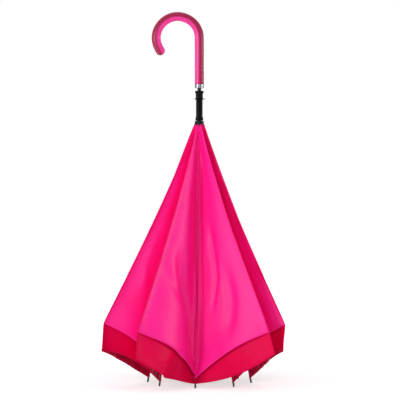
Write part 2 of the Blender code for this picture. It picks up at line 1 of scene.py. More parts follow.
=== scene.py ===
"""Dressed model of an inverted umbrella, folded and standing on its rib tips.

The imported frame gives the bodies, the joints and the hard parts. This file dresses
them: two layers of satin cloth in sixteen folded half gores, rib sleeves, turned
runner, shaft and collar, and the leather crook. Lengths are in metres.
"""
import json
import logging
import math
import random
from dataclasses import dataclass, field
from enum import Enum

import bpy
import numpy as np
from bpy.types import Material, Node, NodeSocket, NodeTree, Object
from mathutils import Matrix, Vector, noise


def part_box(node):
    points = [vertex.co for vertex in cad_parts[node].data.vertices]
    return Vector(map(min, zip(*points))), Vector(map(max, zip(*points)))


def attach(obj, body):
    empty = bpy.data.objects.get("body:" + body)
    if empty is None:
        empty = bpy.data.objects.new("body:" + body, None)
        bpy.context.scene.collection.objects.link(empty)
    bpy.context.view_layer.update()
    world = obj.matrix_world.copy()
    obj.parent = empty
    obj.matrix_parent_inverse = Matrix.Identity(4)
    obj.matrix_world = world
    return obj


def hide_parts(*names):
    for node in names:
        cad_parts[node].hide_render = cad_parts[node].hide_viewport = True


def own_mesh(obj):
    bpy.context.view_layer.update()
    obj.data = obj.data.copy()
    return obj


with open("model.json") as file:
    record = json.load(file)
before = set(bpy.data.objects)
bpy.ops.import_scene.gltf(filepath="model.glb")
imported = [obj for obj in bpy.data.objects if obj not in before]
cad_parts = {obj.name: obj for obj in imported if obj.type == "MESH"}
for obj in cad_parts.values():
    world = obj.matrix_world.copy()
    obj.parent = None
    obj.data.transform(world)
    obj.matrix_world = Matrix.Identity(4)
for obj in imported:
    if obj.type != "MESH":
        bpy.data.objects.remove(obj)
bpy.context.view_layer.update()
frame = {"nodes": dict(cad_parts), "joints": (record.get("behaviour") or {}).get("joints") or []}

MM = 0.001
DEG = math.radians(1.0)
EAST, NORTH, UP = Vector((1.0, 0.0, 0.0)), Vector((0.0, 1.0, 0.0)), Vector((0.0, 0.0, 1.0))
GORES = 8
GORE_TURN = 2 * math.pi / GORES

# Places along a rib in millimetres, shares of the radius there and groove depths
Rings = tuple[tuple[float, float, float], ...]

log = logging.getLogger("umbrella")


class Side(Enum):
    """Half of a gore, named as seen from outside the folded canopy."""

    LEFT = 1
    RIGHT = -1

    @property
    def word(self) -> str:
        """Word that the half's nodes and bodies carry."""
        return self.name.lower()


class Layer(Enum):
    """Cloth layer of the double canopy."""

    LINING = "lining"
    RAIN = "rain"


class Slot(Enum):
    """Material slots of the record."""

    LINING = "lining_cloth"
    RAIN = "rain_cloth"
    LEATHER = "leather_cover"
    COLLAR = "bright_collar"
    RODS = "frame_rods"
    PLASTIC = "black_plastic"


def linear(hex_colour: str) -> tuple[float, float, float, float]:
    """Turn an sRGB hex value into a linear colour.

    Args:
        hex_colour: Six hex digits after a hash.

    Returns:
        Linear red, green and blue, with an alpha of one.
    """
    levels = [int(hex_colour[start:start + 2], 16) / 255 for start in (1, 3, 5)]
    red, green, blue = [level / 12.92 if level <= 0.04045 else ((level + 0.055) / 1.055) ** 2.4
                        for level in levels]
    return red, green, blue, 1.0


def set_node(tree: NodeTree, node: Node, settings: dict | None = None,
             links: dict | None = None) -> Node:
    """Give a shader node its settings and links.

    Args:
        tree: Node tree that holds the node.
        node: The node.
        settings: Values by attribute name, or by socket name or number. Hex values turn to
            linear colours, and stops are a ramp's two places with their hex colours.
        links: Outputs, or nodes for their first output, by the input's name or number.

    Returns:
        The node.
    """
    for key, value in (settings or {}).items():
        if key == "stops":
            for element, (place, colour) in zip(node.color_ramp.elements, value):
                element.position = place
                element.color = linear(colour)
        elif isinstance(key, str) and hasattr(node, key):
            setattr(node, key, value)
        else:
            node.inputs[key].default_value = linear(value) if isinstance(value, str) else value
    for key, source in (links or {}).items():
        output = source.outputs[0] if isinstance(source, Node) else source
        tree.links.new(output, node.inputs[key])
    return node


def add_node(tree: NodeTree, kind: str, settings: dict | None = None,
             links: dict | None = None) -> Node:
    """Add a node of the type named after the word ShaderNode, as set_node sets it."""
    return set_node(tree, tree.nodes.new("ShaderNode" + kind), settings, links)


def wave_scale(spacing: float) -> float:
    """Return the scale at which a wave texture's waves lie a real distance apart."""
    return 2 * math.pi / (20 * spacing)


def start_material(name: str) -> tuple[Material, NodeTree, Node, NodeSocket]:
    """Make a material with a bare Principled shader.

    Args:
        name: Name of the real material.

    Returns:
        The material, its node tree, its shader and the places on the object in metres.
    """
    material = bpy.data.materials.new(name)
    material.use_nodes = True
    tree = material.node_tree
    place = add_node(tree, "TexCoord").outputs["Object"]
    return material, tree, tree.nodes["Principled BSDF"], place


@dataclass(frozen=True)
class WovenPolyester:
    """Satin pongee, a dyed polyester weave with a soft shine along its threads."""

    name: str
    lit: str
    deep: str
    sheen_tint: str
    thread_tint: str = "#C8A0B4"
    thread: float = 0.9 * MM  # real threads lie 0.12 mm apart, drawn coarser so that they show
    slub: float = 6 * MM
    cloud: float = 90 * MM
    roughness: float = 0.47
    sheen: float = 0.12
    shine: float = 0.3
    hem: float = 7 * MM
    stitch: float = 3.2 * MM

    def build(self) -> Material:
        """Make the cloth material, with weave, slubs, dye clouds and hem stitches.

        Returns:
            The cloth material.
        """
        material, tree, shader, place = start_material(self.name)
        pattern = add_node(tree, "UVMap", {"uv_map": "cut"})
        warp, weft = [add_node(tree, "TexWave", {"bands_direction": direction,
                                                 "Scale": wave_scale(self.thread)},
                               {"Vector": pattern}) for direction in "XY"]
        weave = add_node(tree, "Math", {"operation": "MULTIPLY"},
                         {0: warp.outputs["Fac"], 1: weft.outputs["Fac"]})
        slubs = add_node(tree, "TexNoise", {"Scale": 1 / self.slub, "Detail": 3.0,
                                            "Roughness": 0.6}, {"Vector": pattern})
        clouds = add_node(tree, "TexNoise", {"Scale": 1 / self.cloud, "Detail": 2.0},
                          {"Vector": place})
        tone = add_node(tree, "ValToRGB", {"stops": ((0.3, self.deep), (0.7, self.lit))},
                        {"Fac": clouds})
        threads = add_node(tree, "Math", {"operation": "MULTIPLY_ADD", 1: 0.06, 2: 0.955},
                           {0: slubs})
        grey = add_node(tree, "CombineColor", links={level: threads for level in range(3)})
        woven = add_node(tree, "Mix", {"data_type": "RGBA", "blend_type": "MULTIPLY", 0: 1.0},
                         {6: tone, 7: grey})
        stitch = self.stitch_mask(tree)
        dark = add_node(tree, "Mix", {"data_type": "RGBA", "blend_type": "MULTIPLY",
                                      7: self.thread_tint},
                        {0: stitch, 6: woven.outputs[2]})
        rough = add_node(tree, "MapRange", {"From Min": 0.3, "From Max": 0.7,
                                            "To Min": self.roughness - 0.05,
                                            "To Max": self.roughness + 0.06}, {"Value": slubs})
        height = add_node(tree, "Math", {"operation": "MULTIPLY_ADD", 1: -1.5},
                          {0: stitch, 2: weave})
        bump = add_node(tree, "Bump", {"Strength": 0.25, "Distance": 0.06 * MM},
                        {"Height": height})
        soft = add_node(tree, "Bump", {"Strength": 0.4, "Distance": 0.25 * MM},
                        {"Height": slubs, "Normal": bump})
        set_node(tree, shader, {"IOR": 1.5, "Specular IOR Level": self.shine,
                                "Sheen Weight": self.sheen, "Sheen Roughness": 0.35,
                                "Sheen Tint": self.sheen_tint},
                 {"Base Color": dark.outputs[2], "Roughness": rough, "Normal": soft})
        return material

    def stitch_mask(self, tree: NodeTree) -> Node:
        """Mark the dashes of the hem's thread.

        Args:
            tree: Node tree of the cloth.

        Returns:
            Node whose output is one on a stitch and zero elsewhere.
        """
        hem = add_node(tree, "UVMap", {"uv_map": "hem"})
        split = add_node(tree, "SeparateXYZ", links={0: hem})
        off_line = add_node(tree, "Math", {"operation": "SUBTRACT", 1: self.hem - 1 * MM},
                            {0: split.outputs["Y"]})
        distance = add_node(tree, "Math", {"operation": "ABSOLUTE"}, {0: off_line})
        line = add_node(tree, "MapRange", {"From Min": 0.3 * MM, "From Max": 0.6 * MM,
                                           "To Min": 1.0, "To Max": 0.0}, {"Value": distance})
        dashes = add_node(tree, "TexWave", {"bands_direction": "X",
                                            "Scale": wave_scale(self.stitch)}, {"Vector": hem})
        return add_node(tree, "Math", {"operation": "MULTIPLY"},
                        {0: line, 1: dashes.outputs["Fac"]})


@dataclass(frozen=True)
class DyedLeather:
    """Smooth dyed leather with fine grain and pores, and painted shade darkening its outer side."""

    name: str = "dyed_leather"
    lit: str = "#F6379C"
    deep: str = "#E0278A"
    # Colour of the painted shade on the cover's outer side
    burnished: str = "#9E0A42"
    grain: float = 1.1 * MM
    worn_patch: float = 24 * MM
    roughness: float = 0.34

    def build(self) -> Material:
        """Make the leather material, whose grain cells are about a millimetre wide.

        Returns:
            The leather material.
        """
        material, tree, shader, place = start_material(self.name)
        grain = add_node(tree, "TexVoronoi", {"Scale": 1 / self.grain}, {"Vector": place})
        wear = add_node(tree, "TexNoise", {"Scale": 1 / self.worn_patch, "Detail": 5.0},
                        {"Vector": place})
        tone = add_node(tree, "ValToRGB", {"stops": ((0.3, self.deep), (0.68, self.lit))},
                        {"Fac": wear})
        # Painted shade: the outer side, found by the around coordinate, darkens to the painted
        # shade colour along a wavy edge
        around = add_node(tree, "UVMap", {"uv_map": "around"})
        split = add_node(tree, "SeparateXYZ", links={0: around})
        uneven = add_node(tree, "Math", {"operation": "MULTIPLY_ADD", 1: 0.3},
                          {0: wear, 2: split})
        outer = add_node(tree, "MapRange", {"interpolation_type": "SMOOTHSTEP",
                                            "From Min": -0.1, "From Max": 0.2}, {"Value": uneven})
        # The leather's own tone, darkened on the outer side by painted shade
        dyed = add_node(tree, "Mix", {"data_type": "RGBA", 7: self.burnished},
                        {0: outer, 6: tone})
        rough = add_node(tree, "MapRange", {"To Min": self.roughness - 0.06,
                                            "To Max": self.roughness + 0.16}, {"Value": wear})
        bump = add_node(tree, "Bump", {"Strength": 0.35, "Distance": 0.12 * MM}, {"Height": grain})
        set_node(tree, shader, {"IOR": 1.5, "Specular IOR Level": 0.3, "Coat Weight": 0.1,
                                "Coat Roughness": 0.22},
                 {"Base Color": dyed.outputs[2], "Roughness": rough, "Normal": bump})
        return material


@dataclass(frozen=True)
class ThreadSeam:
    """Leather edge pressed into the cover's seam, darker where the dye gathers."""

    name: str = "dark_leather_seam"
    lit: str = "#8E0A4C"
    deep: str = "#5E0532"
    stitch: float = 3 * MM

    def build(self) -> Material:
        """Make the seam material, blotched at the width of a stitch.

        Returns:
            The seam material.
        """
        material, tree, shader, place = start_material(self.name)
        blotch = add_node(tree, "TexNoise", {"Scale": 1 / self.stitch}, {"Vector": place})
        tone = add_node(tree, "ValToRGB", {"stops": ((0.35, self.deep), (0.65, self.lit))},
                        {"Fac": blotch})
        set_node(tree, shader, {"Roughness": 0.5}, {"Base Color": tone})
        return material


@dataclass(frozen=True)
class PlatedMetal:
    """Plated or coated metal, with fine marks left by polishing round its axis."""

    name: str
    lit: str
    deep: str
    roughness: float
    metallic: float = 1.0
    mark: float = 0.5 * MM
    stretch: float = 12.0
    cloud: float = 30 * MM
    coat: float = 0.0
    shine: float = 0.5

    def build(self) -> Material:
        """Make the metal material, streaked along its polishing marks.

        Returns:
            The metal material.
        """
        material, tree, shader, place = start_material(self.name)
        squeezed = add_node(tree, "Mapping", {"Scale": (1.0, 1.0, self.stretch)},
                            {"Vector": place})
        marks = add_node(tree, "TexNoise", {"Scale": 1 / (self.mark * self.stretch),
                                            "Detail": 4.0}, {"Vector": squeezed})
        haze = add_node(tree, "TexNoise", {"Scale": 1 / self.cloud, "Detail": 3.0},
                        {"Vector": place})
        tone = add_node(tree, "ValToRGB", {"stops": ((0.35, self.deep), (0.65, self.lit))},
                        {"Fac": haze})
        rough = add_node(tree, "MapRange", {"To Min": self.roughness * 0.75,
                                            "To Max": self.roughness * 1.3}, {"Value": marks})
        bump = add_node(tree, "Bump", {"Strength": 0.12, "Distance": 0.02 * MM}, {"Height": marks})
        set_node(tree, shader, {"Metallic": self.metallic, "Specular IOR Level": self.shine,
                                "Coat Weight": self.coat},
                 {"Base Color": tone, "Roughness": rough, "Normal": bump})
        return material


@dataclass(frozen=True)
class MouldedPlastic:
    """Moulded ABS or nylon, with the faint orange peel that a steel mould leaves."""

    name: str
    lit: str
    deep: str
    roughness: float
    shine: float = 0.5
    peel: float = 1.6 * MM
    rubbed_patch: float = 14 * MM

    def build(self) -> Material:
        """Make the plastic material, with dulled patches where hands rub it.

        Returns:
            The plastic material.
        """
        material, tree, shader, place = start_material(self.name)
        peel = add_node(tree, "TexNoise", {"Scale": 1 / self.peel, "Detail": 2.0},
                        {"Vector": place})
        rub = add_node(tree, "TexNoise", {"Scale": 1 / self.rubbed_patch, "Detail": 3.0},
                       {"Vector": place})
        tone = add_node(tree, "ValToRGB", {"stops": ((0.3, self.deep), (0.7, self.lit))},
                        {"Fac": rub})
        rough = add_node(tree, "MapRange", {"To Min": self.roughness * 0.8,
                                            "To Max": self.roughness * 1.4}, {"Value": rub})
        bump = add_node(tree, "Bump", {"Strength": 0.2, "Distance": 0.05 * MM}, {"Height": peel})
        set_node(tree, shader, {"IOR": 1.53, "Specular IOR Level": self.shine},
                 {"Base Color": tone, "Roughness": rough, "Normal": bump})
        return material


@dataclass(frozen=True)
class StudioWhite:
    """Pale painted board, seen as white by the camera and in reflections."""

    name: str = "painted_board"
    lit: str = "#F6F4F5"
    deep: str = "#F4F2F3"
    mottle: float = 250 * MM
    glow_near: float = 0.62
    near: float = 0.3
    far: float = 1.1

    def build(self) -> Material:
        """Make the board material, which keeps shadows and a faint reflection.

        Returns:
            The board material.
        """
        material, tree, shader, place = start_material(self.name)
        mottle = add_node(tree, "TexNoise", {"Scale": 1 / self.mottle}, {"Vector": place})
        tone = add_node(tree, "ValToRGB", {"stops": ((0.4, self.deep), (0.6, self.lit))},
                        {"Fac": mottle})
        distance = add_node(tree, "VectorMath", {"operation": "LENGTH"}, {0: place})
        glow = add_node(tree, "MapRange", {"interpolation_type": "SMOOTHSTEP",
                                           "From Min": self.near, "From Max": self.far,
                                           "To Min": self.glow_near, "To Max": 1.0},
                        {"Value": distance.outputs["Value"]})
        seen = background_rays(tree)
        strength = add_node(tree, "Math", {"operation": "MULTIPLY"}, {0: seen, 1: glow})
        set_node(tree, shader, {"Roughness": 0.3, "Specular IOR Level": 0.5,
                                "Emission Color": "#FFFFFF"},
                 {"Base Color": tone, "Emission Strength": strength})
        return material


@dataclass(frozen=True)
class BlackFelt:
    """Black felt, whose fuzz takes all shine; it gives polished parts their dark edges."""

    name: str = "black_felt"
    lit: str = "#141415"
    deep: str = "#0C0C0D"
    fibre: float = 2 * MM

    def build(self) -> Material:
        """Make the felt material.

        Returns:
            The felt material.
        """
        material, tree, shader, place = start_material(self.name)
        fuzz = add_node(tree, "TexNoise", {"Scale": 1 / self.fibre}, {"Vector": place})
        tone = add_node(tree, "ValToRGB", {"stops": ((0.4, self.deep), (0.6, self.lit))},
                        {"Fac": fuzz})
        set_node(tree, shader, {"Specular IOR Level": 0.0}, {"Base Color": tone})
        return material


def background_rays(tree: NodeTree) -> Node:
    """Tell rays that show the background from rays that light the object.

    Args:
        tree: Node tree of a floor, backdrop or world.

    Returns:
        Node whose output is one for camera, glossy and transmission rays.
    """
    path = add_node(tree, "LightPath")
    first = add_node(tree, "Math", {"operation": "MAXIMUM"},
                     {0: path.outputs["Is Camera Ray"], 1: path.outputs["Is Glossy Ray"]})
    return add_node(tree, "Math", {"operation": "MAXIMUM"},
                    {0: first, 1: path.outputs["Is Transmission Ray"]})


@dataclass
class Palette:
    """Every finish of the umbrella, built once."""

    lining: Material = field(default_factory=WovenPolyester(
        "satin_polyester_lining", "#FF1094", "#FF0C8C", "#FFA8D0").build)
    # The rain cloth's darker red is partly its own colour and partly painted shade, for the
    # lining's shadow that it lies in
    rain: Material = field(default_factory=WovenPolyester(
        "satin_polyester_rain", "#E8004E", "#DA0044", "#FF5C92", sheen=0.0,
        shine=0.06).build)
    leather: Material = field(default_factory=DyedLeather().build)
    seam: Material = field(default_factory=ThreadSeam().build)
    chrome: Material = field(default_factory=PlatedMetal(
        "chromed_brass", "#8F9196", "#828489", 0.13).build)
    black_steel: Material = field(default_factory=PlatedMetal(
        "black_plated_steel", "#0E1617", "#080D0E", 0.3, metallic=0.0, shine=0.15).build)
    rods: Material = field(default_factory=PlatedMetal(
        "lacquered_rib_rod", "#18181A", "#101012", 0.35, metallic=0.0, coat=0.4).build)
    plastic: Material = field(default_factory=MouldedPlastic(
        "black_abs", "#0B0B0C", "#060607", 0.24, 0.05).build)
    core: Material = field(default_factory=MouldedPlastic(
        "grey_nylon_core", "#3A3A3C", "#303032", 0.5).build)
    board: Material = field(default_factory=StudioWhite().build)


@dataclass
class Assembly:
    """Sub-assembly, which holds the umbrella's finishes."""

    palette: Palette

    def cloth(self, layer: Layer) -> tuple[Material, Slot]:
        """Return a cloth layer's finish and its slot."""
        finishes = {Layer.LINING: self.palette.lining, Layer.RAIN: self.palette.rain}
        return finishes[layer], Slot[layer.name]


def make_object(name: str, vertices: list, faces: list[tuple[int, ...]],
                material: Material, sharp: float = 40 * DEG) -> Object:
    """Make a smooth-shaded mesh object.

    Args:
        name: Object name.
        vertices: Points in metres.
        faces: Vertex numbers of each face, counter-clockwise from outside.
        material: Finish of the whole object.
        sharp: Angle above which an edge stays sharp.

    Returns:
        The linked object.
    """
    mesh = bpy.data.meshes.new(name)
    mesh.from_pydata([tuple(point) for point in vertices], [], faces)
    mesh.validate()
    mesh.shade_smooth()
    mesh.set_sharp_from_angle(angle=sharp)
    mesh.materials.append(material)
    item = bpy.data.objects.new(name, mesh)
    bpy.context.scene.collection.objects.link(item)
    return item


def ring_faces(rings: int, sides: int, start: int = 0, closed: bool = False,
               capped: bool = True) -> list[tuple[int, ...]]:
    """Faces that skin rings of equally many points.

    Args:
        rings: Number of rings.
        sides: Points on each ring.
        start: Number of the first vertex.
        closed: Whether the last ring joins the first.
        capped: Whether open ends get a face.

    Returns:
        The faces as vertex numbers.
    """
    faces = []
    for ring in range(rings if closed else rings - 1):
        low = start + ring * sides
        high = start + (ring + 1) % rings * sides
        for side in range(sides):
            after = (side + 1) % sides
            faces.append((low + side, low + after, high + after, high + side))
    if capped and not closed:
        faces.append(tuple(start + side for side in range(sides - 1, -1, -1)))
        faces.append(tuple(start + (rings - 1) * sides + side for side in range(sides)))
    return faces


def turns(sides: int) -> list[float]:
    """Return the angles of points spaced evenly round a circle."""
    return [2 * math.pi * side / sides for side in range(sides)]


def circle(centre: Vector, first: Vector, second: Vector, radius: float,
           sides: int) -> list[Vector]:
    """Return points round a circle, from the first direction towards the second."""
    return [centre + (first * math.cos(turn) + second * math.sin(turn)) * radius
            for turn in turns(sides)]


def write_uv(item: Object, name: str, first: np.ndarray, second: np.ndarray) -> None:
    """Give a mesh a layer of texture coordinates.

    Args:
        item: Object whose mesh gets the layer.
        name: Name of the layer.
        first: First coordinate of each vertex.
        second: Second coordinate of each vertex.
    """
    corners = np.zeros(len(item.data.loops), dtype=int)
    item.data.loops.foreach_get("vertex_index", corners)
    layer = item.data.uv_layers.new(name=name)
    layer.data.foreach_set("uv", np.stack([first[corners], second[corners]], axis=1).ravel())


def refinish(node: str, material: Material) -> None:
    """Give a part that stays as the frame has it its finish.

    Args:
        node: Frame node.
        material: Its finish.
    """
    slots = frame["nodes"][node].data.materials
    slots.clear()
    slots.append(material)


def turned(name: str, profile: list[tuple[float, float]], place: Vector,
           material: Material, sides: int = 64, closed: bool = False,
           sharp: float = 40 * DEG) -> Object:
    """Turn a profile round a vertical axis.

    Args:
        name: Object name.
        profile: Radius and height of each point, from below along the outside.
        place: Point from which heights are measured, on the axis.
        material: Finish.
        sides: Facets round the axis.
        closed: Whether the profile closes on itself, as a sleeve's does.
        sharp: Angle above which an edge stays sharp.

    Returns:
        The turned object.
    """
    points = []
    for radius, height in profile:
        points += circle(place + UP * height, EAST, NORTH, radius, sides)
    faces = ring_faces(len(profile), sides, closed=closed)
    return make_object(name, points, faces, material, sharp)


def rounded(points: list[tuple[float, float]], radius: float,
            steps: int = 4) -> list[tuple[float, float]]:
    """Round the corners of a profile.

    Args:
        points: Corners of an open outline.
        radius: Largest rounding, limited to a third of the shorter side.
        steps: Points on each rounding.

    Returns:
        The outline with its inner corners rounded.
    """
    outline = [points[0]]
    for before, corner, after in zip(points, points[1:], points[2:]):
        middle = Vector(corner)
        back, ahead = Vector(before) - middle, Vector(after) - middle
        reach = min(radius, back.length / 3, ahead.length / 3)
        start, end = middle + back.normalized() * reach, middle + ahead.normalized() * reach
        for step in range(steps + 1):
            share = step / steps
            point = (start * (1 - share) ** 2 + middle * (2 * share * (1 - share))
                     + end * share ** 2)
            outline.append((point.x, point.y))
    outline.append(points[-1])
    return outline


def finish_piece(item: Object, body: str, slot: Slot,
                 *nodes: str) -> Object:
    """Let a piece ride on a body and hide the nodes that it stands for.

    Args:
        item: The piece.
        body: Body that carries it.
        slot: Material slot of the record; not used.
        nodes: Frame nodes that it replaces.

    Returns:
        The piece.
    """
    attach(item, body)
    if nodes:
        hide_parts(*nodes)
    log.info("%s rides on %s", item.name, body)
    return item


def joint_named(name: str) -> dict:
    """Return the frame's joint of that name."""
    return next(joint for joint in frame["joints"] if joint["name"] == name)


def axis_foot() -> Vector:
    """Return the point on the floor below the shaft."""
    low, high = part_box("shaft_tube")
    return Vector(((low[0] + high[0]) / 2, (low[1] + high[1]) / 2, 0.0))


def foot_of(node: str) -> Vector:
    """Return the point on the shaft's axis at the level of a node's foot."""
    return axis_foot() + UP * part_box(node)[0][2]


@dataclass(frozen=True)
class FoldLine:
    """One crease or ridge of folded cloth, drawn on the flat pattern in millimetres.

    The route is a list of (down from the hinge, across from the rib) points. A positive
    rise stands out as a ridge, and a negative one is a hollow.
    """

    route: tuple[tuple[float, float], ...]
    width: float
    rise: float
    fade: float = 60.0

    def height(self, down: np.ndarray, across: np.ndarray) -> np.ndarray:
        """Find the fold's height at points of the pattern.

        Args:
            down: Distances from the hinge in metres.
            across: Distances from the rib in metres.

        Returns:
            Heights in metres.
        """
        places = np.array(self.route) * MM
        middle = np.interp(down, places[:, 0], places[:, 1])
        rise_in = smooth_step((down - places[0, 0]) / (self.fade * MM))
        rise_out = smooth_step((places[-1, 0] - down) / (self.fade * MM))
        profile = np.exp(-((across - middle) / (self.width * MM)) ** 2)
        return self.rise * MM * profile * rise_in * rise_out


# Folds that fan out from the hub where a half gore has none of its own, in millimetres
FAN_SHARES = (0.12, 0.27, 0.45, 0.63)
FAN_SCATTER, FAN_LEAN = 0.05, 0.06
FAN_TOPS, FAN_RISES, FAN_WIDTHS = (60, 220), (1.2, 3.2), (5, 13)
FAN_FOOT, FAN_FADE = 640.0, 120.0


@dataclass(frozen=True)
class Drape:
    """Soft folds of one half gore; depths in millimetres, outward when positive.

    The sag is how much further down the middle of the rain layer's hem hangs.
    """

    broad: float
    narrow: float
    seed: int
    lines: tuple[FoldLine, ...] = ()
    sag: float = -8.0

    def fan(self, half_width: float) -> tuple[FoldLine, ...]:
        """Find the half's own fold lines, or a few that fan out from its top.

        Args:
            half_width: Width of the half gore for each metre down its rib.

        Returns:
            The fold lines.
        """
        if self.lines:
            return self.lines
        draw = random.Random(self.seed)
        found = []
        for share in FAN_SHARES:
            place = share + draw.uniform(-FAN_SCATTER, FAN_SCATTER)
            lean = draw.uniform(-FAN_LEAN, FAN_LEAN)
            top = draw.uniform(*FAN_TOPS)
            route = ((top, top * half_width * place),
                     (FAN_FOOT, FAN_FOOT * half_width * (place + lean)))
            rise = draw.choice((-1, 1)) * draw.uniform(*FAN_RISES)
            found.append(FoldLine(route, draw.uniform(*FAN_WIDTHS), rise, FAN_FADE))
        return tuple(found)


def smooth_step(value: np.ndarray) -> np.ndarray:
    """Return a soft rise from 0 to 1 over the same range."""
    value = np.clip(value, 0.0, 1.0)
    return value * value * (3 - 2 * value)


# How far down a crease swings in full, and how its bow leans to the hub
SWING_LENGTH = 456 * MM
BOW_LEAN = 0.75


@dataclass(frozen=True)
class GoreShape:
    """How one gore is cut and how its crease hangs; lengths in millimetres.

    Swings and bows point towards the gore before it, seen from outside to the left.
    """

    crease_share: float
    lining_longer: float
    rain_longer: float
    bow: float
    lining_swing: float
    rain_swing: float

    def crease_swing(self, down: np.ndarray) -> np.ndarray:
        """Find how far the lining's crease swings at points down the rib.

        Args:
            down: Distances from the hinge in metres.

        Returns:
            Sideways distances in metres.
        """
        reach = np.clip(down / SWING_LENGTH, 0.0, 1.0)
        bow = self.bow * np.sin(math.pi * reach ** BOW_LEAN)
        return (self.lining_swing * reach + bow) * MM


@dataclass
class HalfGore:
    """Plane, pattern and folds of one half gore."""

    gore: int
    side: Side
    shape: GoreShape
    drape: Drape

    def __post_init__(self) -> None:
        """Read the rib's line and the fold's turn from the frame's joints."""
        self.rib = self.gore if self.side is Side.LEFT else self.gore % GORES + 1
        self.body = f"half_gore_{self.gore}_{self.side.word}"
        fold = joint_named(f"{self.body}_fold")
        hinge = joint_named(f"rib_{self.rib}_hinge")
        self.origin = Vector(fold["pos_m"])
        self.down = -Vector(fold["axis"]) * self.side.value
        sideways = -Vector(hinge["axis"])
        outer = self.down.cross(sideways)
        self.folded_angle = math.atan2(self.down.dot(UP.cross(sideways)) * -1, -self.down.z)
        open_angle = self.folded_angle + math.radians(hinge["range_deg"][1])
        open_roll = math.atan(-math.cos(open_angle) * math.tan(GORE_TURN / 2))
        roll = open_roll + math.radians(fold["range_deg"][1])
        reach = sideways * self.side.value
        self.across = reach * math.cos(roll) + outer * math.sin(roll)
        self.normal = outer * math.cos(roll) - reach * math.sin(roll)
        radius = (self.origin - UP * self.origin.z - axis_foot()).length
        self.open_apex = radius / math.sin(open_angle)
        self.folded_apex = radius / math.sin(self.folded_angle)
        whole = math.acos(math.sin(open_angle) ** 2 * math.cos(GORE_TURN)
                          + math.cos(open_angle) ** 2)
        share = self.shape.crease_share
        share = share if self.side is Side.LEFT else 1 - share
        self.half = whole * share


@dataclass(frozen=True)
class Cut:
    """Flat cut of a cloth layer, measured as its pattern is drawn."""

    layer: Layer
    tip_margin: float
    crease: float
    inside: float
    hem_power: float
    start: float = 6.5 * MM


@dataclass
class Lay:
    """One half gore's cloth in its flat pattern, as grids of distances in metres.

    They run down from the hinge, across from the rib and up from the hem; the share is
    the place from the rib, 0, to the crease, 1.
    """

    half: HalfGore
    cut: Cut
    down: np.ndarray
    across: np.ndarray
    share: np.ndarray
    above_hem: np.ndarray

    def area(self) -> float:
        """Measure the flat pattern.

        Returns:
            Its area in square metres.
        """
        tall = np.diff(self.down, axis=0)
        wide = np.diff(self.across, axis=1)
        cells = (tall[:, :-1] + tall[:, 1:]) / 2 * (wide[:-1] + wide[1:]) / 2
        return float(cells.sum())


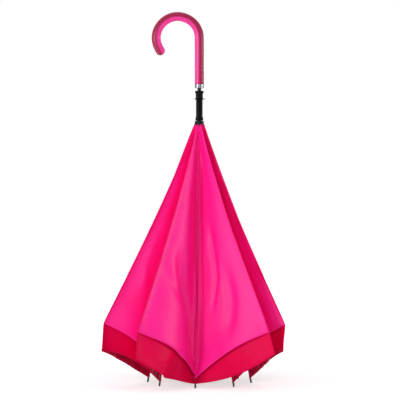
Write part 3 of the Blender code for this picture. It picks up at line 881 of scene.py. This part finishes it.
@dataclass
class Canopy(Assembly):
    """Double canopy: a lining and a rain layer on each of sixteen half gores."""

    rib_length: float = 585 * MM
    thickness: float = 0.3 * MM
    waves: tuple[tuple[float, float], ...] = ((0.9 * MM, 55 * MM), (0.3 * MM, 18 * MM))
    waves_start: float = 120 * MM
    waves_margins: tuple[float, float] = (0.1, 0.08)
    hem: float = 7 * MM
    columns: int = 76
    column_bunching: float = 1.6
    rows: int = 88
    crest_gap: float = 0.12 * MM
    crest_round: float = 1.6 * MM
    crest_bend: float = 0.35
    crest_bend_length: float = 60 * MM
    lining_cut: Cut = Cut(Layer.LINING, 19 * MM, 498 * MM, 0.0, 2.6)
    rain_cut: Cut = Cut(Layer.RAIN, 10 * MM, 552 * MM, 1.8 * MM, 2.0)
    fold_reach: float = 498 * MM
    rib_hold: float = 3.5 * MM
    gather: float = 1.4 * MM
    gather_length: float = 200 * MM
    shapes: tuple[GoreShape, ...] = (
        GoreShape(0.556, 16, 12, 15, 0, 6),
        GoreShape(0.46, 4, 5, 13, -2, 40),
        GoreShape(0.558, 0, 0, -6, -10, -10),
        GoreShape(0.48, 6, 6, -6, -4, -10),
        GoreShape(0.53, 6, 6, 6, 3, 9),
        GoreShape(0.45, 0, 0, -5, 4, 8),
        GoreShape(0.538, 3, 8, -15, 2, -38),
        GoreShape(0.485, 17, 22, -9, -2, -14),
    )
    rain_swing_length: float = 60 * MM
    overlap: float = 1.1 * MM
    overlap_start: float = 0.9
    hem_step: float = 0.8 * MM
    hem_fold: float = 0.25 * MM
    hem_flare: float = 5 * MM
    hem_flare_length: float = 70 * MM
    hem_curl_length: float = 34 * MM
    drapes: tuple[Drape, ...] = (
        Drape(6.0, -2.0, 1, (
            FoldLine(((120, 3), (258, 5), (390, 6), (480, 5), (560, 2)), 3.0, 4.5, 60),
            FoldLine(((60, 7), (170, 10.6), (258, 13.5), (390, 16.5), (480, 13), (560, 5)), 3.0,
                     -7.0, 70),
            FoldLine(((220, 34), (275, 40), (350, 54), (430, 42)), 8.0, -4.5),
            FoldLine(((290, 62), (340, 60), (440, 48)), 5.0, 2.0),
            FoldLine(((300, 76), (400, 92), (500, 84)), 16.0, -7.0, 90)), 8.0),
        Drape(-5.4, 1.8, 2, (), -18.0),
        Drape(3.0, 1.5, 3, (
            FoldLine(((120, 22), (300, 52), (430, 84)), 10.0, -2.4),
            FoldLine(((340, 88), (440, 118), (500, 130)), 13.0, 4.5, 50),
            FoldLine(((150, 12), (420, 34)), 7.0, 2.5)), -14.0),
        Drape(-3.6, 2.7, 4),
        Drape(5.4, 1.8, 5),
        Drape(-3.6, 1.8, 6),
        Drape(3.6, 2.7, 7),
        Drape(-4.5, 1.8, 8),
        Drape(4.5, 2.2, 9),
        Drape(-4.5, 2.7, 10),
        Drape(5.4, 1.8, 11),
        Drape(-3.6, 2.7, 12),
        Drape(4.5, 2.7, 13),
        Drape(20.0, 0.0, 14, (
            FoldLine(((240, 60), (330, 82), (400, 76)), 9.0, 3.0, 50),
            FoldLine(((330, 50), (420, 60), (520, 60)), 9.0, -3.5, 60),
            FoldLine(((90, 16), (300, 62), (430, 96)), 14.0, 2.0, 90)), -14.0),
        Drape(-5.4, 2.2, 15),
        Drape(22.0, 0.0, 16, (
            FoldLine(((30, 5), (170, 8), (258, 7.5), (330, 4.5), (390, 4), (560, 3)), 2.4, -6.5,
                     50),
            FoldLine(((290, 12), (380, 11), (480, 8), (560, 4)), 4.5, 5.0),
            FoldLine(((270, 66), (351, 58), (393, 44), (441, 22), (560, 10)), 15.0, -8.0, 60),
            FoldLine(((300, 112), (350, 98), (390, 66), (430, 46)), 16.0, -4.0, 60),
            FoldLine(((330, 68), (360, 57), (441, 23), (500, 9)), 6.5, -5.0, 40),
            FoldLine(((505, 66), (560, 92), (640, 120)), 15.0, -14.0, 40)), 8.0),
    )

    def halves(self) -> list[HalfGore]:
        """Find the half gores.

        Returns:
            The sixteen half gores, left then right in each gore.
        """
        found = []
        for gore in range(1, GORES + 1):
            for number, side in enumerate(Side):
                found.append(HalfGore(gore, side, self.shapes[gore - 1],
                                      self.drapes[2 * (gore - 1) + number]))
        return found

    def folded_edge(self, half: HalfGore, down: np.ndarray) -> np.ndarray:
        """Find where a half gore's plane meets its partner's.

        Args:
            half: The half gore.
            down: Distances from the hinge along the rib.

        Returns:
            Distances across the half gore.
        """
        turn = math.atan2(self.fold_reach * math.sin(half.half),
                          self.fold_reach * math.cos(half.half) - half.open_apex
                          + half.folded_apex)
        return (down + half.folded_apex) * math.tan(turn)

    def stand(self, lay: Lay, opening: float) -> tuple[np.ndarray, np.ndarray]:
        """Find how far folded cloth stands from its half gore's plane.

        Args:
            lay: The cloth in its flat pattern.
            opening: Angle between the gore's two halves.

        Returns:
            Height over the plane and distance to the gore's middle plane.
        """
        half, down, across, share = lay.half, lay.down, lay.across, lay.share
        drape = half.drape
        slope = math.tan(opening / 2)
        edge = self.folded_edge(half, down)
        open_edge = (down + half.open_apex) * math.tan(half.half)
        reach = np.clip(down / self.lining_cut.crease, 0.0, 1.2)
        height = ((open_edge - edge) * slope + self.crest_gap) * share ** 2
        fall = reach * (1 - share ** 8) * MM
        height += fall * drape.broad * np.sin(math.pi * share)
        height += fall * drape.narrow * np.sin(2 * math.pi * share)
        loose = (1 - share ** 6) * (1 - np.exp(-(across / self.rib_hold) ** 2))
        for line in drape.fan(math.tan(half.half)):
            height += line.height(down, across) * loose
        crest = np.exp(-(open_edge - across) / self.crest_round)
        height -= self.crest_round * self.crest_bend * crest * smooth_step(
            down / self.crest_bend_length)
        to_middle = height + (edge - across) * slope
        return height, to_middle

    def hem_at(self, cut: Cut, half: HalfGore, share: np.ndarray) -> np.ndarray:
        """Find how far the hem lies from the open canopy's middle.

        Args:
            cut: Flat cut of the layer.
            half: The half gore.
            share: Place from the rib to the crease.

        Returns:
            Distances from the point where open ribs meet.
        """
        longer = (half.shape.lining_longer if cut.layer is Layer.LINING
                  else half.shape.rain_longer)
        at_rib = self.rib_length - cut.tip_margin + half.open_apex
        at_crease = cut.crease + longer * MM
        hem = at_crease + (at_rib - at_crease) * (1 - share) ** cut.hem_power
        if cut.layer is Layer.RAIN:
            hem = hem + 4 * half.drape.sag * MM * share * (1 - share)
        return hem

    def lay_out(self, half: HalfGore, cut: Cut) -> Lay:
        """Lay out one half gore's cloth in its flat pattern.

        Args:
            half: The half gore.
            cut: Flat cut of the layer.

        Returns:
            The cloth in its flat pattern.
        """
        columns, rows = np.meshgrid(np.linspace(0, 1, self.columns + 1) ** self.column_bunching,
                                    np.linspace(0, 1, self.rows + 1))
        hem = self.hem_at(cut, half, columns)
        hem_down = hem * np.cos(half.half * columns) - half.open_apex
        down = cut.start + (hem_down - cut.start) * rows
        across = columns * (down + half.open_apex) * math.tan(half.half)
        return Lay(half, cut, down, across, columns, hem_down - down)

    def sheet(self, half: HalfGore, partner: HalfGore, cut: Cut) -> Object:
        """Make one half gore of one layer.

        Args:
            half: The half gore.
            partner: The other half of its gore.
            cut: Flat cut of the layer.

        Returns:
            The cloth, riding on its body.
        """
        opening = math.acos(max(-1.0, min(1.0, -half.normal.dot(partner.normal))))
        lay = self.lay_out(half, cut)
        down, share, above_hem = lay.down, lay.share, lay.above_hem
        height, to_middle = self.stand(lay, opening)
        if cut.inside:
            height -= cut.inside * (1 - np.exp(-np.maximum(to_middle, 0) / cut.inside))
        swing = half.shape.crease_swing(down)
        reach = lay.across - self.gather * share * smooth_step(1 - down / self.gather_length)
        if cut.layer is Layer.RAIN:
            covered = (self.hem_at(self.lining_cut, half, share) * np.cos(half.half * share)
                       - half.open_apex)
            below = np.clip((down - covered) / self.rain_swing_length, 0.0, 2.0)
            swing = swing + half.shape.rain_swing * MM * below
            curl = smooth_step(1 - above_hem / self.hem_curl_length)
            sag = max(half.drape.sag, 0.0) * MM
            height = height - sag * curl * np.sin(math.pi * share) ** 2
        else:
            flare = smooth_step(1 - above_hem / self.hem_flare_length)
            height = height + self.hem_flare * flare * (1 - share ** 4)
        lapped = (share - self.overlap_start) / (1 - self.overlap_start)
        reach = reach + self.overlap * smooth_step(lapped)
        swing = half.side.value * swing * share ** 2
        height = height + swing * math.cos(opening / 2)
        reach = reach - swing * math.sin(opening / 2)
        thick = smooth_step((self.hem - above_hem) / self.hem_step + 0.5)
        height = height + self.hem_fold * thick
        points = np.array(half.origin)
        for distance, axis in ((down, half.down), (reach, half.across), (height, half.normal)):
            points = points + distance[..., None] * np.array(axis)
        item, slot = self.cloth_object(lay, self.crumple(lay, points))
        finish_piece(item, half.body, slot, f"{cut.layer.value}_{half.gore}_{half.side.word}")
        lay.area()
        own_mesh(item)
        return item

    def crumple(self, lay: Lay, points: np.ndarray) -> np.ndarray:
        """Add the small unevenness of hanging cloth.

        Args:
            lay: The cloth in its flat pattern.
            points: Grid of points.

        Returns:
            The uneven points.
        """
        share = lay.share
        at_rib, at_crease = self.waves_margins
        still = np.minimum(share / at_rib, 1) * np.minimum((1 - share) / at_crease, 1)
        still = still * smooth_step(lay.down / self.waves_start)
        uneven = np.zeros(share.shape)
        for row in range(points.shape[0]):
            for column in range(points.shape[1]):
                place = Vector(points[row, column])
                uneven[row, column] = sum(depth * noise.noise(place / size)
                                          for depth, size in self.waves)
        return points + (uneven * still)[..., None] * np.array(lay.half.normal)

    def cloth_object(self, lay: Lay, points: np.ndarray) -> tuple[Object, Slot]:
        """Make a cloth mesh with its pattern and hem coordinates.

        Args:
            lay: The cloth in its flat pattern.
            points: Grid of points.

        Returns:
            The cloth, thickened inwards, and its slot.
        """
        half, rows, columns = lay.half, *lay.down.shape
        faces = []
        for row in range(rows - 1):
            for column in range(columns - 1):
                corner = row * columns + column
                quad = (corner, corner + columns, corner + columns + 1, corner + 1)
                faces.append(quad if half.side is Side.LEFT else quad[::-1])
        name = f"{lay.cut.layer.value}_sheet_{half.gore}_{half.side.word}"
        material, slot = self.cloth(lay.cut.layer)
        item = make_object(name, points.reshape(-1, 3).tolist(), faces, material, math.pi)
        write_uv(item, "cut", lay.across.ravel(), lay.down.ravel())
        write_uv(item, "hem", lay.across.ravel(), lay.above_hem.ravel())
        thick = item.modifiers.new("cloth_thickness", "SOLIDIFY")
        thick.thickness = self.thickness
        thick.offset = -1.0
        return item, slot

    def build(self) -> list[Object]:
        """Make every sheet.

        Returns:
            The thirty-two sheets.
        """
        halves = self.halves()
        made = []
        for number, half in enumerate(halves):
            for cut in (self.lining_cut, self.rain_cut):
                made.append(self.sheet(half, halves[number ^ 1], cut))
        return made


@dataclass
class RibSet(Assembly):
    """Eight ribs, each with its cloth sleeve, tip bead and tip.

    The rings of tips and knots are places in millimetres along the rib, from the shoulder
    down or from the end up, with their share of the radius; a third value is a groove.
    """

    length: float = 585 * MM
    rod_radius: float = 1.6 * MM
    tip_radius: float = 2.2 * MM
    rod_start: float = 6 * MM
    tip_length: float = 20 * MM
    shoulder_rings: tuple[tuple[float, float], ...] = (
        (0, 0.86), (0.8, 1.0), (3, 1.0), (3.5, 0.84), (4.5, 0.84), (5, 1.0))
    end_rings: tuple[tuple[float, float], ...] = ((-5, 1.0), (-2, 0.93), (-1, 0.8), (0, 0.62))
    sleeve_radius: float = 2.1 * MM
    sleeve_start: float = 10 * MM
    sleeve_rings: range = range(24, 540, 6)
    puff: float = 0.05
    puff_rate: float = 0.11
    lining_end: float = 559 * MM
    rain_end: float = 575 * MM
    lining_knot: Rings = (
        (-15, 1.0, 0.3), (-9, 1.12, 0.2), (-4, 1.22, 0.0), (0, 1.05, 0.0))
    rain_knot: Rings = (
        (-20, 0.9, 0.0), (-14, 0.95, 0.0), (-8, 0.98, 0.0), (-4, 1.18, 0.0), (-1, 1.12, 0.0),
        (0, 0.9, 0.0))
    groove: float = 0.3 * MM
    eye_radius: float = 2.0 * MM
    hole_radius: float = 0.8 * MM
    pin_radius: float = 0.7 * MM
    link_gap: float = 0.3 * MM
    link_thickness: float = 1.4 * MM
    pin_reach: float = 200 * MM
    pin_drop: float = 6 * MM
    pin_head: float = 0.2 * MM
    sides: int = 20

    def axes(self, number: int) -> tuple[Vector, Vector, Vector, Vector]:
        """Find a rib's line in the frame's joints.

        Args:
            number: Rib number.

        Returns:
            Its hinge and its down, sideways and outer directions.
        """
        fold = joint_named(f"half_gore_{number}_left_fold")
        down = -Vector(fold["axis"])
        sideways = -Vector(joint_named(f"rib_{number}_hinge")["axis"])
        return Vector(fold["pos_m"]), down, sideways, down.cross(sideways)

    def tube(self, number: int, stations: list[tuple[float, float, float]],
             cut_level: bool = False) -> tuple[list[Vector], int]:
        """Lay rings along a rib.

        Args:
            number: Rib number.
            stations: Distance down, radius and groove depth of each ring.
            cut_level: Whether the last ring lies level on the floor.

        Returns:
            The points and the number of rings.
        """
        origin, down, sideways, outer = self.axes(number)
        points = []
        for index, (reach, radius, groove) in enumerate(stations):
            for turn in turns(self.sides):
                depth = groove * max(0.0, math.cos(turn)) ** 12
                spoke = outer * math.cos(turn) + sideways * math.sin(turn)
                point = origin + down * reach + spoke * (radius - depth)
                if cut_level and index == len(stations) - 1:
                    point += down * (point.z / -down.z)
                points.append(point)
        return points, len(stations)

    def rod(self, number: int) -> Object:
        """Make a rib: rod, turned tip, hinge eye and the strut's lug.

        Args:
            number: Rib number.

        Returns:
            The rib, riding on its body.
        """
        shoulder = self.length - self.tip_length
        stations = [(self.rod_start, self.rod_radius * 0.9, 0),
                    (self.rod_start + 2 * MM, self.rod_radius, 0),
                    (shoulder - 1 * MM, self.rod_radius, 0)]
        for place, rings in ((shoulder, self.shoulder_rings), (self.length, self.end_rings)):
            stations += [(place + reach * MM, self.tip_radius * share, 0)
                         for reach, share in rings]
        points, rings = self.tube(number, stations, cut_level=True)
        faces = ring_faces(rings, self.sides)
        self.add_eye(number, points, faces)
        self.add_lug(number, points, faces)
        item = make_object(f"rib_rod_{number}", points, faces, self.palette.rods)
        return finish_piece(item, f"rib_{number}", Slot.RODS, f"rib_{number}")

    def add_eye(self, number: int, points: list[Vector], faces: list[tuple[int, ...]]) -> None:
        """Add the hinge eye and its strip to a rib's mesh.

        Args:
            number: Rib number.
            points: Points of the mesh, which grow.
            faces: Faces of the mesh, which grow.
        """
        origin, down, sideways, outer = self.axes(number)
        half = sideways * (self.link_thickness / 2)
        start = len(points)
        for radius, offset in ((self.hole_radius, half), (self.eye_radius, half),
                               (self.eye_radius, -half), (self.hole_radius, -half)):
            points += circle(origin + offset, down, outer, radius, self.sides)
        faces += ring_faces(4, self.sides, start, closed=True)
        self.add_strip(points, faces, origin + down * self.hole_radius * 1.6,
                       origin + down * (self.rod_start + 2 * MM), half,
                       outer * self.rod_radius * 0.9)

    def add_lug(self, number: int, points: list[Vector], faces: list[tuple[int, ...]]) -> None:
        """Add the lug that carries the strut's pin, and the pin.

        Args:
            number: Rib number.
            points: Points of the mesh, which grow.
            faces: Faces of the mesh, which grow.
        """
        origin, down, sideways, outer = self.axes(number)
        inner = self.link_thickness / 2 + self.link_gap
        plate = self.link_thickness / 4
        root = origin + down * self.pin_reach
        pin = root - outer * self.pin_drop
        middle = sideways * (inner + plate)
        self.add_strip(points, faces, root + middle, pin + middle, sideways * plate,
                       down * self.rod_radius * 1.1)
        for radius, low, high in ((self.eye_radius, inner, inner + 2 * plate),
                                  (self.pin_radius, -inner, inner + 2 * plate + self.pin_head)):
            start = len(points)
            for reach in (low, high):
                points += circle(pin + sideways * reach, outer, down, radius, self.sides)
            faces += ring_faces(2, self.sides, start)

    @staticmethod
    def add_strip(points: list[Vector], faces: list[tuple[int, ...]], begin: Vector, end: Vector,
                  half: Vector, wide: Vector) -> None:
        """Add a flat strip between two points.

        Args:
            points: Points of the mesh, which grow.
            faces: Faces of the mesh, which grow.
            begin: Middle of one end.
            end: Middle of the other end.
            half: Half of the thickness.
            wide: Half of the width.
        """
        start = len(points)
        for middle in (begin, end):
            points += [middle - half - wide, middle + half - wide, middle + half + wide,
                       middle - half + wide]
        faces += ring_faces(2, 4, start)

    def sleeve(self, number: int) -> list[Object]:
        """Make a rib's sewn sleeve and the stitched lumps near its tip.

        Args:
            number: Rib number.

        Returns:
            The lining's sleeve and the rain layer's sleeve.
        """
        radius = self.sleeve_radius
        top = [(self.sleeve_start, radius * 0.8, 0.0), (self.sleeve_start + 3 * MM, radius, 0.0)]
        top += [(reach * MM, radius * (1 + self.puff * math.sin(reach * self.puff_rate + number)),
                 self.groove) for reach in self.sleeve_rings]
        made = []
        for layer, start, place, knot in (
                (Layer.LINING, top, self.lining_end, self.lining_knot),
                (Layer.RAIN, [], self.rain_end, self.rain_knot)):
            material, slot = self.cloth(layer)
            end = [(place + reach * MM, radius * share, groove * MM)
                   for reach, share, groove in knot]
            points, rings = self.tube(number, start + end)
            item = make_object(f"{layer.value}_sleeve_{number}", points,
                               ring_faces(rings, self.sides), material)
            made.append(finish_piece(item, f"rib_{number}", slot))
        return made

    def build(self) -> list[Object]:
        """Make the eight ribs and their sleeves.

        Returns:
            All rib pieces.
        """
        made = []
        for number in range(1, GORES + 1):
            made.append(self.rod(number))
            made += self.sleeve(number)
        return made


@dataclass
class Handle(Assembly):
    """Leather crook with its seam, and the bright collar below it."""

    radius: float = 10 * MM
    crook_radius: float = 47.4 * MM
    sweep: float = 216 * DEG
    straight: float = 101 * MM
    sides: int = 56
    steps: int = 150
    rim: float = 0.6 * MM
    ripple: float = 0.12 * MM
    ripple_length: float = 9 * MM
    tip_hole: float = 0.3 * MM
    gather_start: float = 14 * MM
    gathers: int = 11
    gather_depth: float = 0.5 * MM
    seam_turn: float = 80 * DEG
    seam_width: float = 2.2 * MM
    seam_depth: float = 0.45 * MM
    bead: float = 0.55 * MM
    bead_inset: float = 0.15 * MM
    bead_margin: float = 1 * MM
    bead_sides: int = 8
    collar_edge: float = 0.9 * MM

    def path(self, reach: float, foot: Vector) -> tuple[Vector, Vector, Vector]:
        """Follow the handle's centre line.

        Args:
            reach: Distance from the foot along the centre line.
            foot: Point where the line starts.

        Returns:
            The centre and its sideways and forward directions.
        """
        if reach <= self.straight:
            return foot + UP * reach, EAST, UP
        turn = (reach - self.straight) / self.crook_radius
        centre = foot + Vector((self.crook_radius * (math.cos(turn) - 1), 0,
                                self.straight + self.crook_radius * math.sin(turn)))
        return (centre, Vector((math.cos(turn), 0, math.sin(turn))),
                Vector((-math.sin(turn), 0, math.cos(turn))))

    def cover(self) -> Object:
        """Make the leather cover, seamed along its outer side and gathered at its tip.

        Returns:
            The cover, riding on the shaft.
        """
        foot = foot_of("grip_cover")
        length = self.straight + self.crook_radius * self.sweep
        stations = [(length * step / self.steps, self.radius) for step in range(self.steps + 1)]
        stations[0] = (0.0, self.radius - self.rim)
        stations.insert(1, (self.rim, self.radius))
        dome = [(length + self.radius * math.sin(turn * DEG), self.radius * math.cos(turn * DEG))
                for turn in range(9, 90, 9)]
        points = []
        end_centre, end_right, end_forward = self.path(length, foot)
        for reach, radius in stations + dome:
            if reach > length:
                centre, right = end_centre + end_forward * (reach - length), end_right
            else:
                centre, right, _ = self.path(reach, foot)
            gather = smooth_step(np.float64((reach - length + self.gather_start)
                                            / self.gather_start))
            for turn in turns(self.sides):
                seam_gap = self.radius * abs(math.remainder(turn - self.seam_turn, 2 * math.pi))
                groove = self.seam_depth * math.exp(-(seam_gap / (self.seam_width / 2)) ** 2)
                pleat = self.gather_depth * gather * math.cos(self.gathers * turn)
                wave = self.ripple * math.sin(reach / self.ripple_length) * math.cos(turn)
                spoke = right * math.cos(turn) + NORTH * math.sin(turn)
                points.append(centre + spoke * (max(radius - groove, self.tip_hole) - pleat
                                                * min(1.0, radius / self.radius) + wave))
        rings = len(stations) + len(dome)
        item = make_object("leather_crook", points, ring_faces(rings, self.sides),
                           self.palette.leather, 60 * DEG)
        number = np.arange(len(points))
        # The around coordinate marks the outer side, which the leather's painted shade darkens
        outer = np.cos(2 * math.pi * (number % self.sides) / self.sides)
        write_uv(item, "around", outer, number // self.sides / rings)
        return finish_piece(item, "shaft", Slot.LEATHER, "grip_cover")

    def seam(self) -> Object:
        """Make the cord of leather that lies in the cover's seam.

        Returns:
            The seam, riding on the shaft.
        """
        foot = foot_of("grip_cover")
        start = self.bead_margin
        length = self.straight + self.crook_radius * self.sweep - 2 * start
        points = []
        turn = self.seam_turn
        for step in range(self.steps + 1):
            reach = start + (length - start) * step / self.steps
            centre, right, _ = self.path(reach, foot)
            spoke = right * math.cos(turn) + NORTH * math.sin(turn)
            cross = NORTH * math.cos(turn) - right * math.sin(turn)
            middle = centre + spoke * (self.radius - self.seam_depth - self.bead_inset)
            points += circle(middle, spoke, cross, self.bead, self.bead_sides)
        item = make_object("leather_seam", points, ring_faces(self.steps + 1, self.bead_sides),
                           self.palette.seam)
        return finish_piece(item, "shaft", Slot.LEATHER)

    def collar(self) -> Object:
        """Make the polished collar.

        Returns:
            The collar, riding on the shaft.
        """
        low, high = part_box("grip_collar")
        tall = high[2] - low[2]
        radius = (high[0] - low[0]) / 2
        bore = radius / 2
        outline = [(bore, 0), (radius, 0), (radius, tall * 0.3), (radius * 0.955, tall * 0.36),
                   (radius * 0.955, tall * 0.44), (radius, tall * 0.5), (radius, tall),
                   (bore, tall)]
        item = turned("polished_collar", rounded(outline, self.collar_edge),
                      foot_of("grip_collar"), self.palette.chrome, closed=True)
        return finish_piece(item, "shaft", Slot.COLLAR, "grip_collar")

    def build(self) -> list[Object]:
        """Make the handle's visible pieces and finish its core.

        Returns:
            Cover, seam and collar.
        """
        refinish("grip_core", self.palette.core)
        return [self.cover(), self.seam(), self.collar()]


@dataclass
class Runner(Assembly):
    """Moulded runner: toothed bell, sleeve, thumb flange, neck and flared head."""

    bore: float = 4.6 * MM
    radius: float = 7.3 * MM
    head_radius: float = 9.6 * MM
    head_height: float = 7 * MM
    neck_radius: float = 7.9 * MM
    flange_radius: float = 12.8 * MM
    flange_height: float = 50 * MM
    flange_thickness: float = 2 * MM
    bell_radius: float = 8.7 * MM
    bell_height: float = 8 * MM
    foot: float = 2.3 * MM
    fillet: float = 0.8 * MM
    step: float = 0.5 * MM
    step_height: float = 3 * MM
    web: float = 2 * MM
    neck_fillet: float = 1.5 * MM
    lead_in: float = 1 * MM

    def sleeve(self) -> Object:
        """Make the runner's turned outside.

        Returns:
            The runner, riding on its body.
        """
        place = foot_of("runner_sleeve") - UP * self.foot
        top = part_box("runner_sleeve")[1][2] - place.z
        head = top - self.head_height
        flare = self.bell_radius - self.radius
        rim = self.flange_thickness / 2
        flange = self.flange_height
        outline = [(self.bore, self.foot), (self.radius, self.foot),
                   (self.bell_radius, self.foot + flare),
                   (self.bell_radius, self.bell_height),
                   (self.radius + self.step, self.bell_height + 0.4 * flare),
                   (self.radius + self.step, self.bell_height + self.step_height),
                   (self.radius, self.bell_height + self.step_height + self.fillet),
                   (self.radius, flange - 2.2 * rim), (self.radius + self.web, flange - rim),
                   (self.flange_radius, flange - rim * 0.35),
                   (self.flange_radius, flange + rim * 0.35),
                   (self.neck_radius + self.neck_fillet, flange + rim),
                   (self.neck_radius, flange + 2 * rim), (self.neck_radius, head),
                   (self.head_radius, head + self.head_height * 0.5),
                   (self.head_radius, top - rim),
                   (self.head_radius - rim, top), (self.bore + self.lead_in, top),
                   (self.bore, top - self.lead_in)]
        item = turned("moulded_runner", rounded(outline, self.fillet), place, self.palette.plastic,
                      sides=72, closed=True, sharp=60 * DEG)
        return finish_piece(item, "runner", Slot.PLASTIC, "runner_sleeve")

    def build(self) -> list[Object]:
        """Make the runner and finish the hub and wire that stay.

        Returns:
            The runner.
        """
        refinish("rib_hub", self.palette.plastic)
        refinish("rib_wire", self.palette.black_steel)
        return [self.sleeve()]


@dataclass
class Shaft(Assembly):
    """Black plated shaft tube with its ferrule; hub, struts and catches keep their nodes."""

    chamfer: float = 1.4 * MM
    fillet: float = 0.6 * MM

    def build(self) -> list[Object]:
        """Finish the shaft and the parts along it.

        Returns:
            The ferrule.
        """
        kept = {"shaft_tube": self.palette.black_steel, "strut_hub": self.palette.plastic,
                "strut_wire": self.palette.black_steel, "lower_catch": self.palette.black_steel,
                "upper_catch": self.palette.black_steel}
        for number in range(1, GORES + 1):
            kept[f"strut_{number}"] = self.palette.rods
        for node, material in kept.items():
            refinish(node, material)
        return [self.ferrule()]

    def ferrule(self) -> Object:
        """Make the ferrule cap.

        Returns:
            The cap, riding on the shaft.
        """
        low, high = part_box("ferrule_cap")
        radius, tall = (high[0] - low[0]) / 2, high[2] - low[2]
        bore = radius * 0.7
        outline = [(bore * 0.2, 0), (radius * 0.8, 0), (radius, self.chamfer), (radius, tall * 0.5),
                   (radius * 0.93, tall * 0.54), (radius * 0.93, tall * 0.6),
                   (radius * 0.98, tall * 0.66), (radius * 0.9, tall), (bore, tall),
                   (bore, tall * 0.5), (bore * 0.2, tall * 0.5)]
        item = turned("moulded_ferrule", rounded(outline, self.fillet), foot_of("ferrule_cap"),
                      self.palette.plastic, closed=True)
        return finish_piece(item, "shaft", Slot.PLASTIC, "ferrule_cap")


@dataclass
class Studio(Assembly):
    """Pale floor, soft lamps and the camera at the photograph's angle."""

    camera_distance: float = 4.5
    camera_height: float = 0.5
    aim_height: float = 403 * MM
    aim_side: float = 1.5 * MM
    frame_width: float = 881 * MM
    sensor_in_mm: float = 36.0
    lamps: tuple[tuple[str, tuple[float, float, float], float, float], ...] = (
        ("key_lamp", (-2.1, -2.15, 1.0), 0.7, 29.0),
        ("front_lamp", (-0.2, -3.1, 0.9), 1.0, 10.0),
        ("left_lamp", (-2.8, -0.75, 0.9), 0.8, 12.0),
        ("right_lamp", (2.85, -0.6, 0.9), 0.7, 27.0),
        ("top_lamp", (0.0, 0.3, 2.6), 1.8, 4.0))
    lamp_aim: float = 0.35
    air_light: float = 0.49
    floor_size: float = 8.0
    flag_radius: float = 3.6
    flag_foot: float = 0.02
    flag_top: float = 2.6
    flag_spread: float = 52 * DEG
    flag_steps: int = 12

    def build(self) -> None:
        """Set up floor, world, lamps and camera."""
        self.floor()
        self.world()
        for name, place, size, power in self.lamps:
            self.lamp(name, Vector(place), size, power)
        felt = BlackFelt().build()
        for quarter in range(4):
            self.flag(f"flag_{quarter + 1}", quarter * math.pi / 2, felt)
        self.camera()
        bpy.context.scene.view_settings.view_transform = "Standard"

    def floor(self) -> None:
        """Lay the floor just under the rib tips."""
        half = self.floor_size / 2
        item = make_object("floor", [(-half, -half, 0), (half, -half, 0), (half, half, 0),
                                     (-half, half, 0)], [(0, 1, 2, 3)], self.palette.board)

    def world(self) -> None:
        """Light the scene evenly and show white behind it."""
        world = bpy.data.worlds.new("studio_air")
        world.use_nodes = True
        tree = world.node_tree
        seen = background_rays(tree)
        strength = add_node(tree, "MapRange", {"To Min": self.air_light}, {"Value": seen})
        set_node(tree, tree.nodes["Background"], {"Color": "#FFFFFF"}, {"Strength": strength})
        bpy.context.scene.world = world

    def flag(self, name: str, turn: float, felt: Material) -> None:
        """Stand a curved dark board round the object, seen only in its reflections.

        Args:
            name: Board name.
            turn: Turn round the vertical to the board's middle.
            felt: Finish of the board.
        """
        steps = self.flag_steps
        points = []
        for height in (self.flag_foot, self.flag_top):
            for step in range(steps + 1):
                angle = turn + self.flag_spread * (step / steps - 0.5)
                points.append((self.flag_radius * math.sin(angle),
                               -self.flag_radius * math.cos(angle), height))
        faces = [(step, step + 1, steps + 2 + step, steps + 1 + step) for step in range(steps)]
        item = make_object(name, points, faces, felt)
        item.visible_camera = False
        item.visible_diffuse = False
        item.visible_shadow = False

    def lamp(self, name: str, place: Vector, size: float, power: float) -> None:
        """Hang a square soft lamp that faces the canopy.

        Args:
            name: Lamp name.
            place: Where it hangs.
            size: Side of the lamp.
            power: Its power in watts.
        """
        light = bpy.data.lights.new(name, "AREA")
        light.size = size
        light.energy = power
        item = bpy.data.objects.new(name, light)
        item.location = place
        aim = UP * self.lamp_aim - place
        item.rotation_euler = aim.to_track_quat("-Z", "Y").to_euler()
        bpy.context.scene.collection.objects.link(item)

    def camera(self) -> None:
        """Place the camera."""
        axis = axis_foot()
        place = axis + Vector((self.aim_side, -self.camera_distance, self.camera_height))
        target = axis + Vector((self.aim_side, 0.0, self.aim_height))
        data = bpy.data.cameras.new("studio_camera")
        data.sensor_width = self.sensor_in_mm
        data.lens = self.sensor_in_mm * (target - place).length / self.frame_width
        item = bpy.data.objects.new("studio_camera", data)
        item.location = place
        item.rotation_euler = (target - place).to_track_quat("-Z", "Y").to_euler()
        bpy.context.scene.collection.objects.link(item)
        bpy.context.scene.camera = item


def main() -> None:
    """Build the dressed umbrella and its studio."""
    logging.basicConfig(level=logging.INFO, format="%(message)s")
    palette = Palette()
    for assembly in (Shaft, Handle, Runner, RibSet, Canopy):
        made = assembly(palette).build()
        log.info("%s: %d pieces", assembly.__name__, len(made))
    Studio(palette).build()


if __name__ == "__main__":
    main()
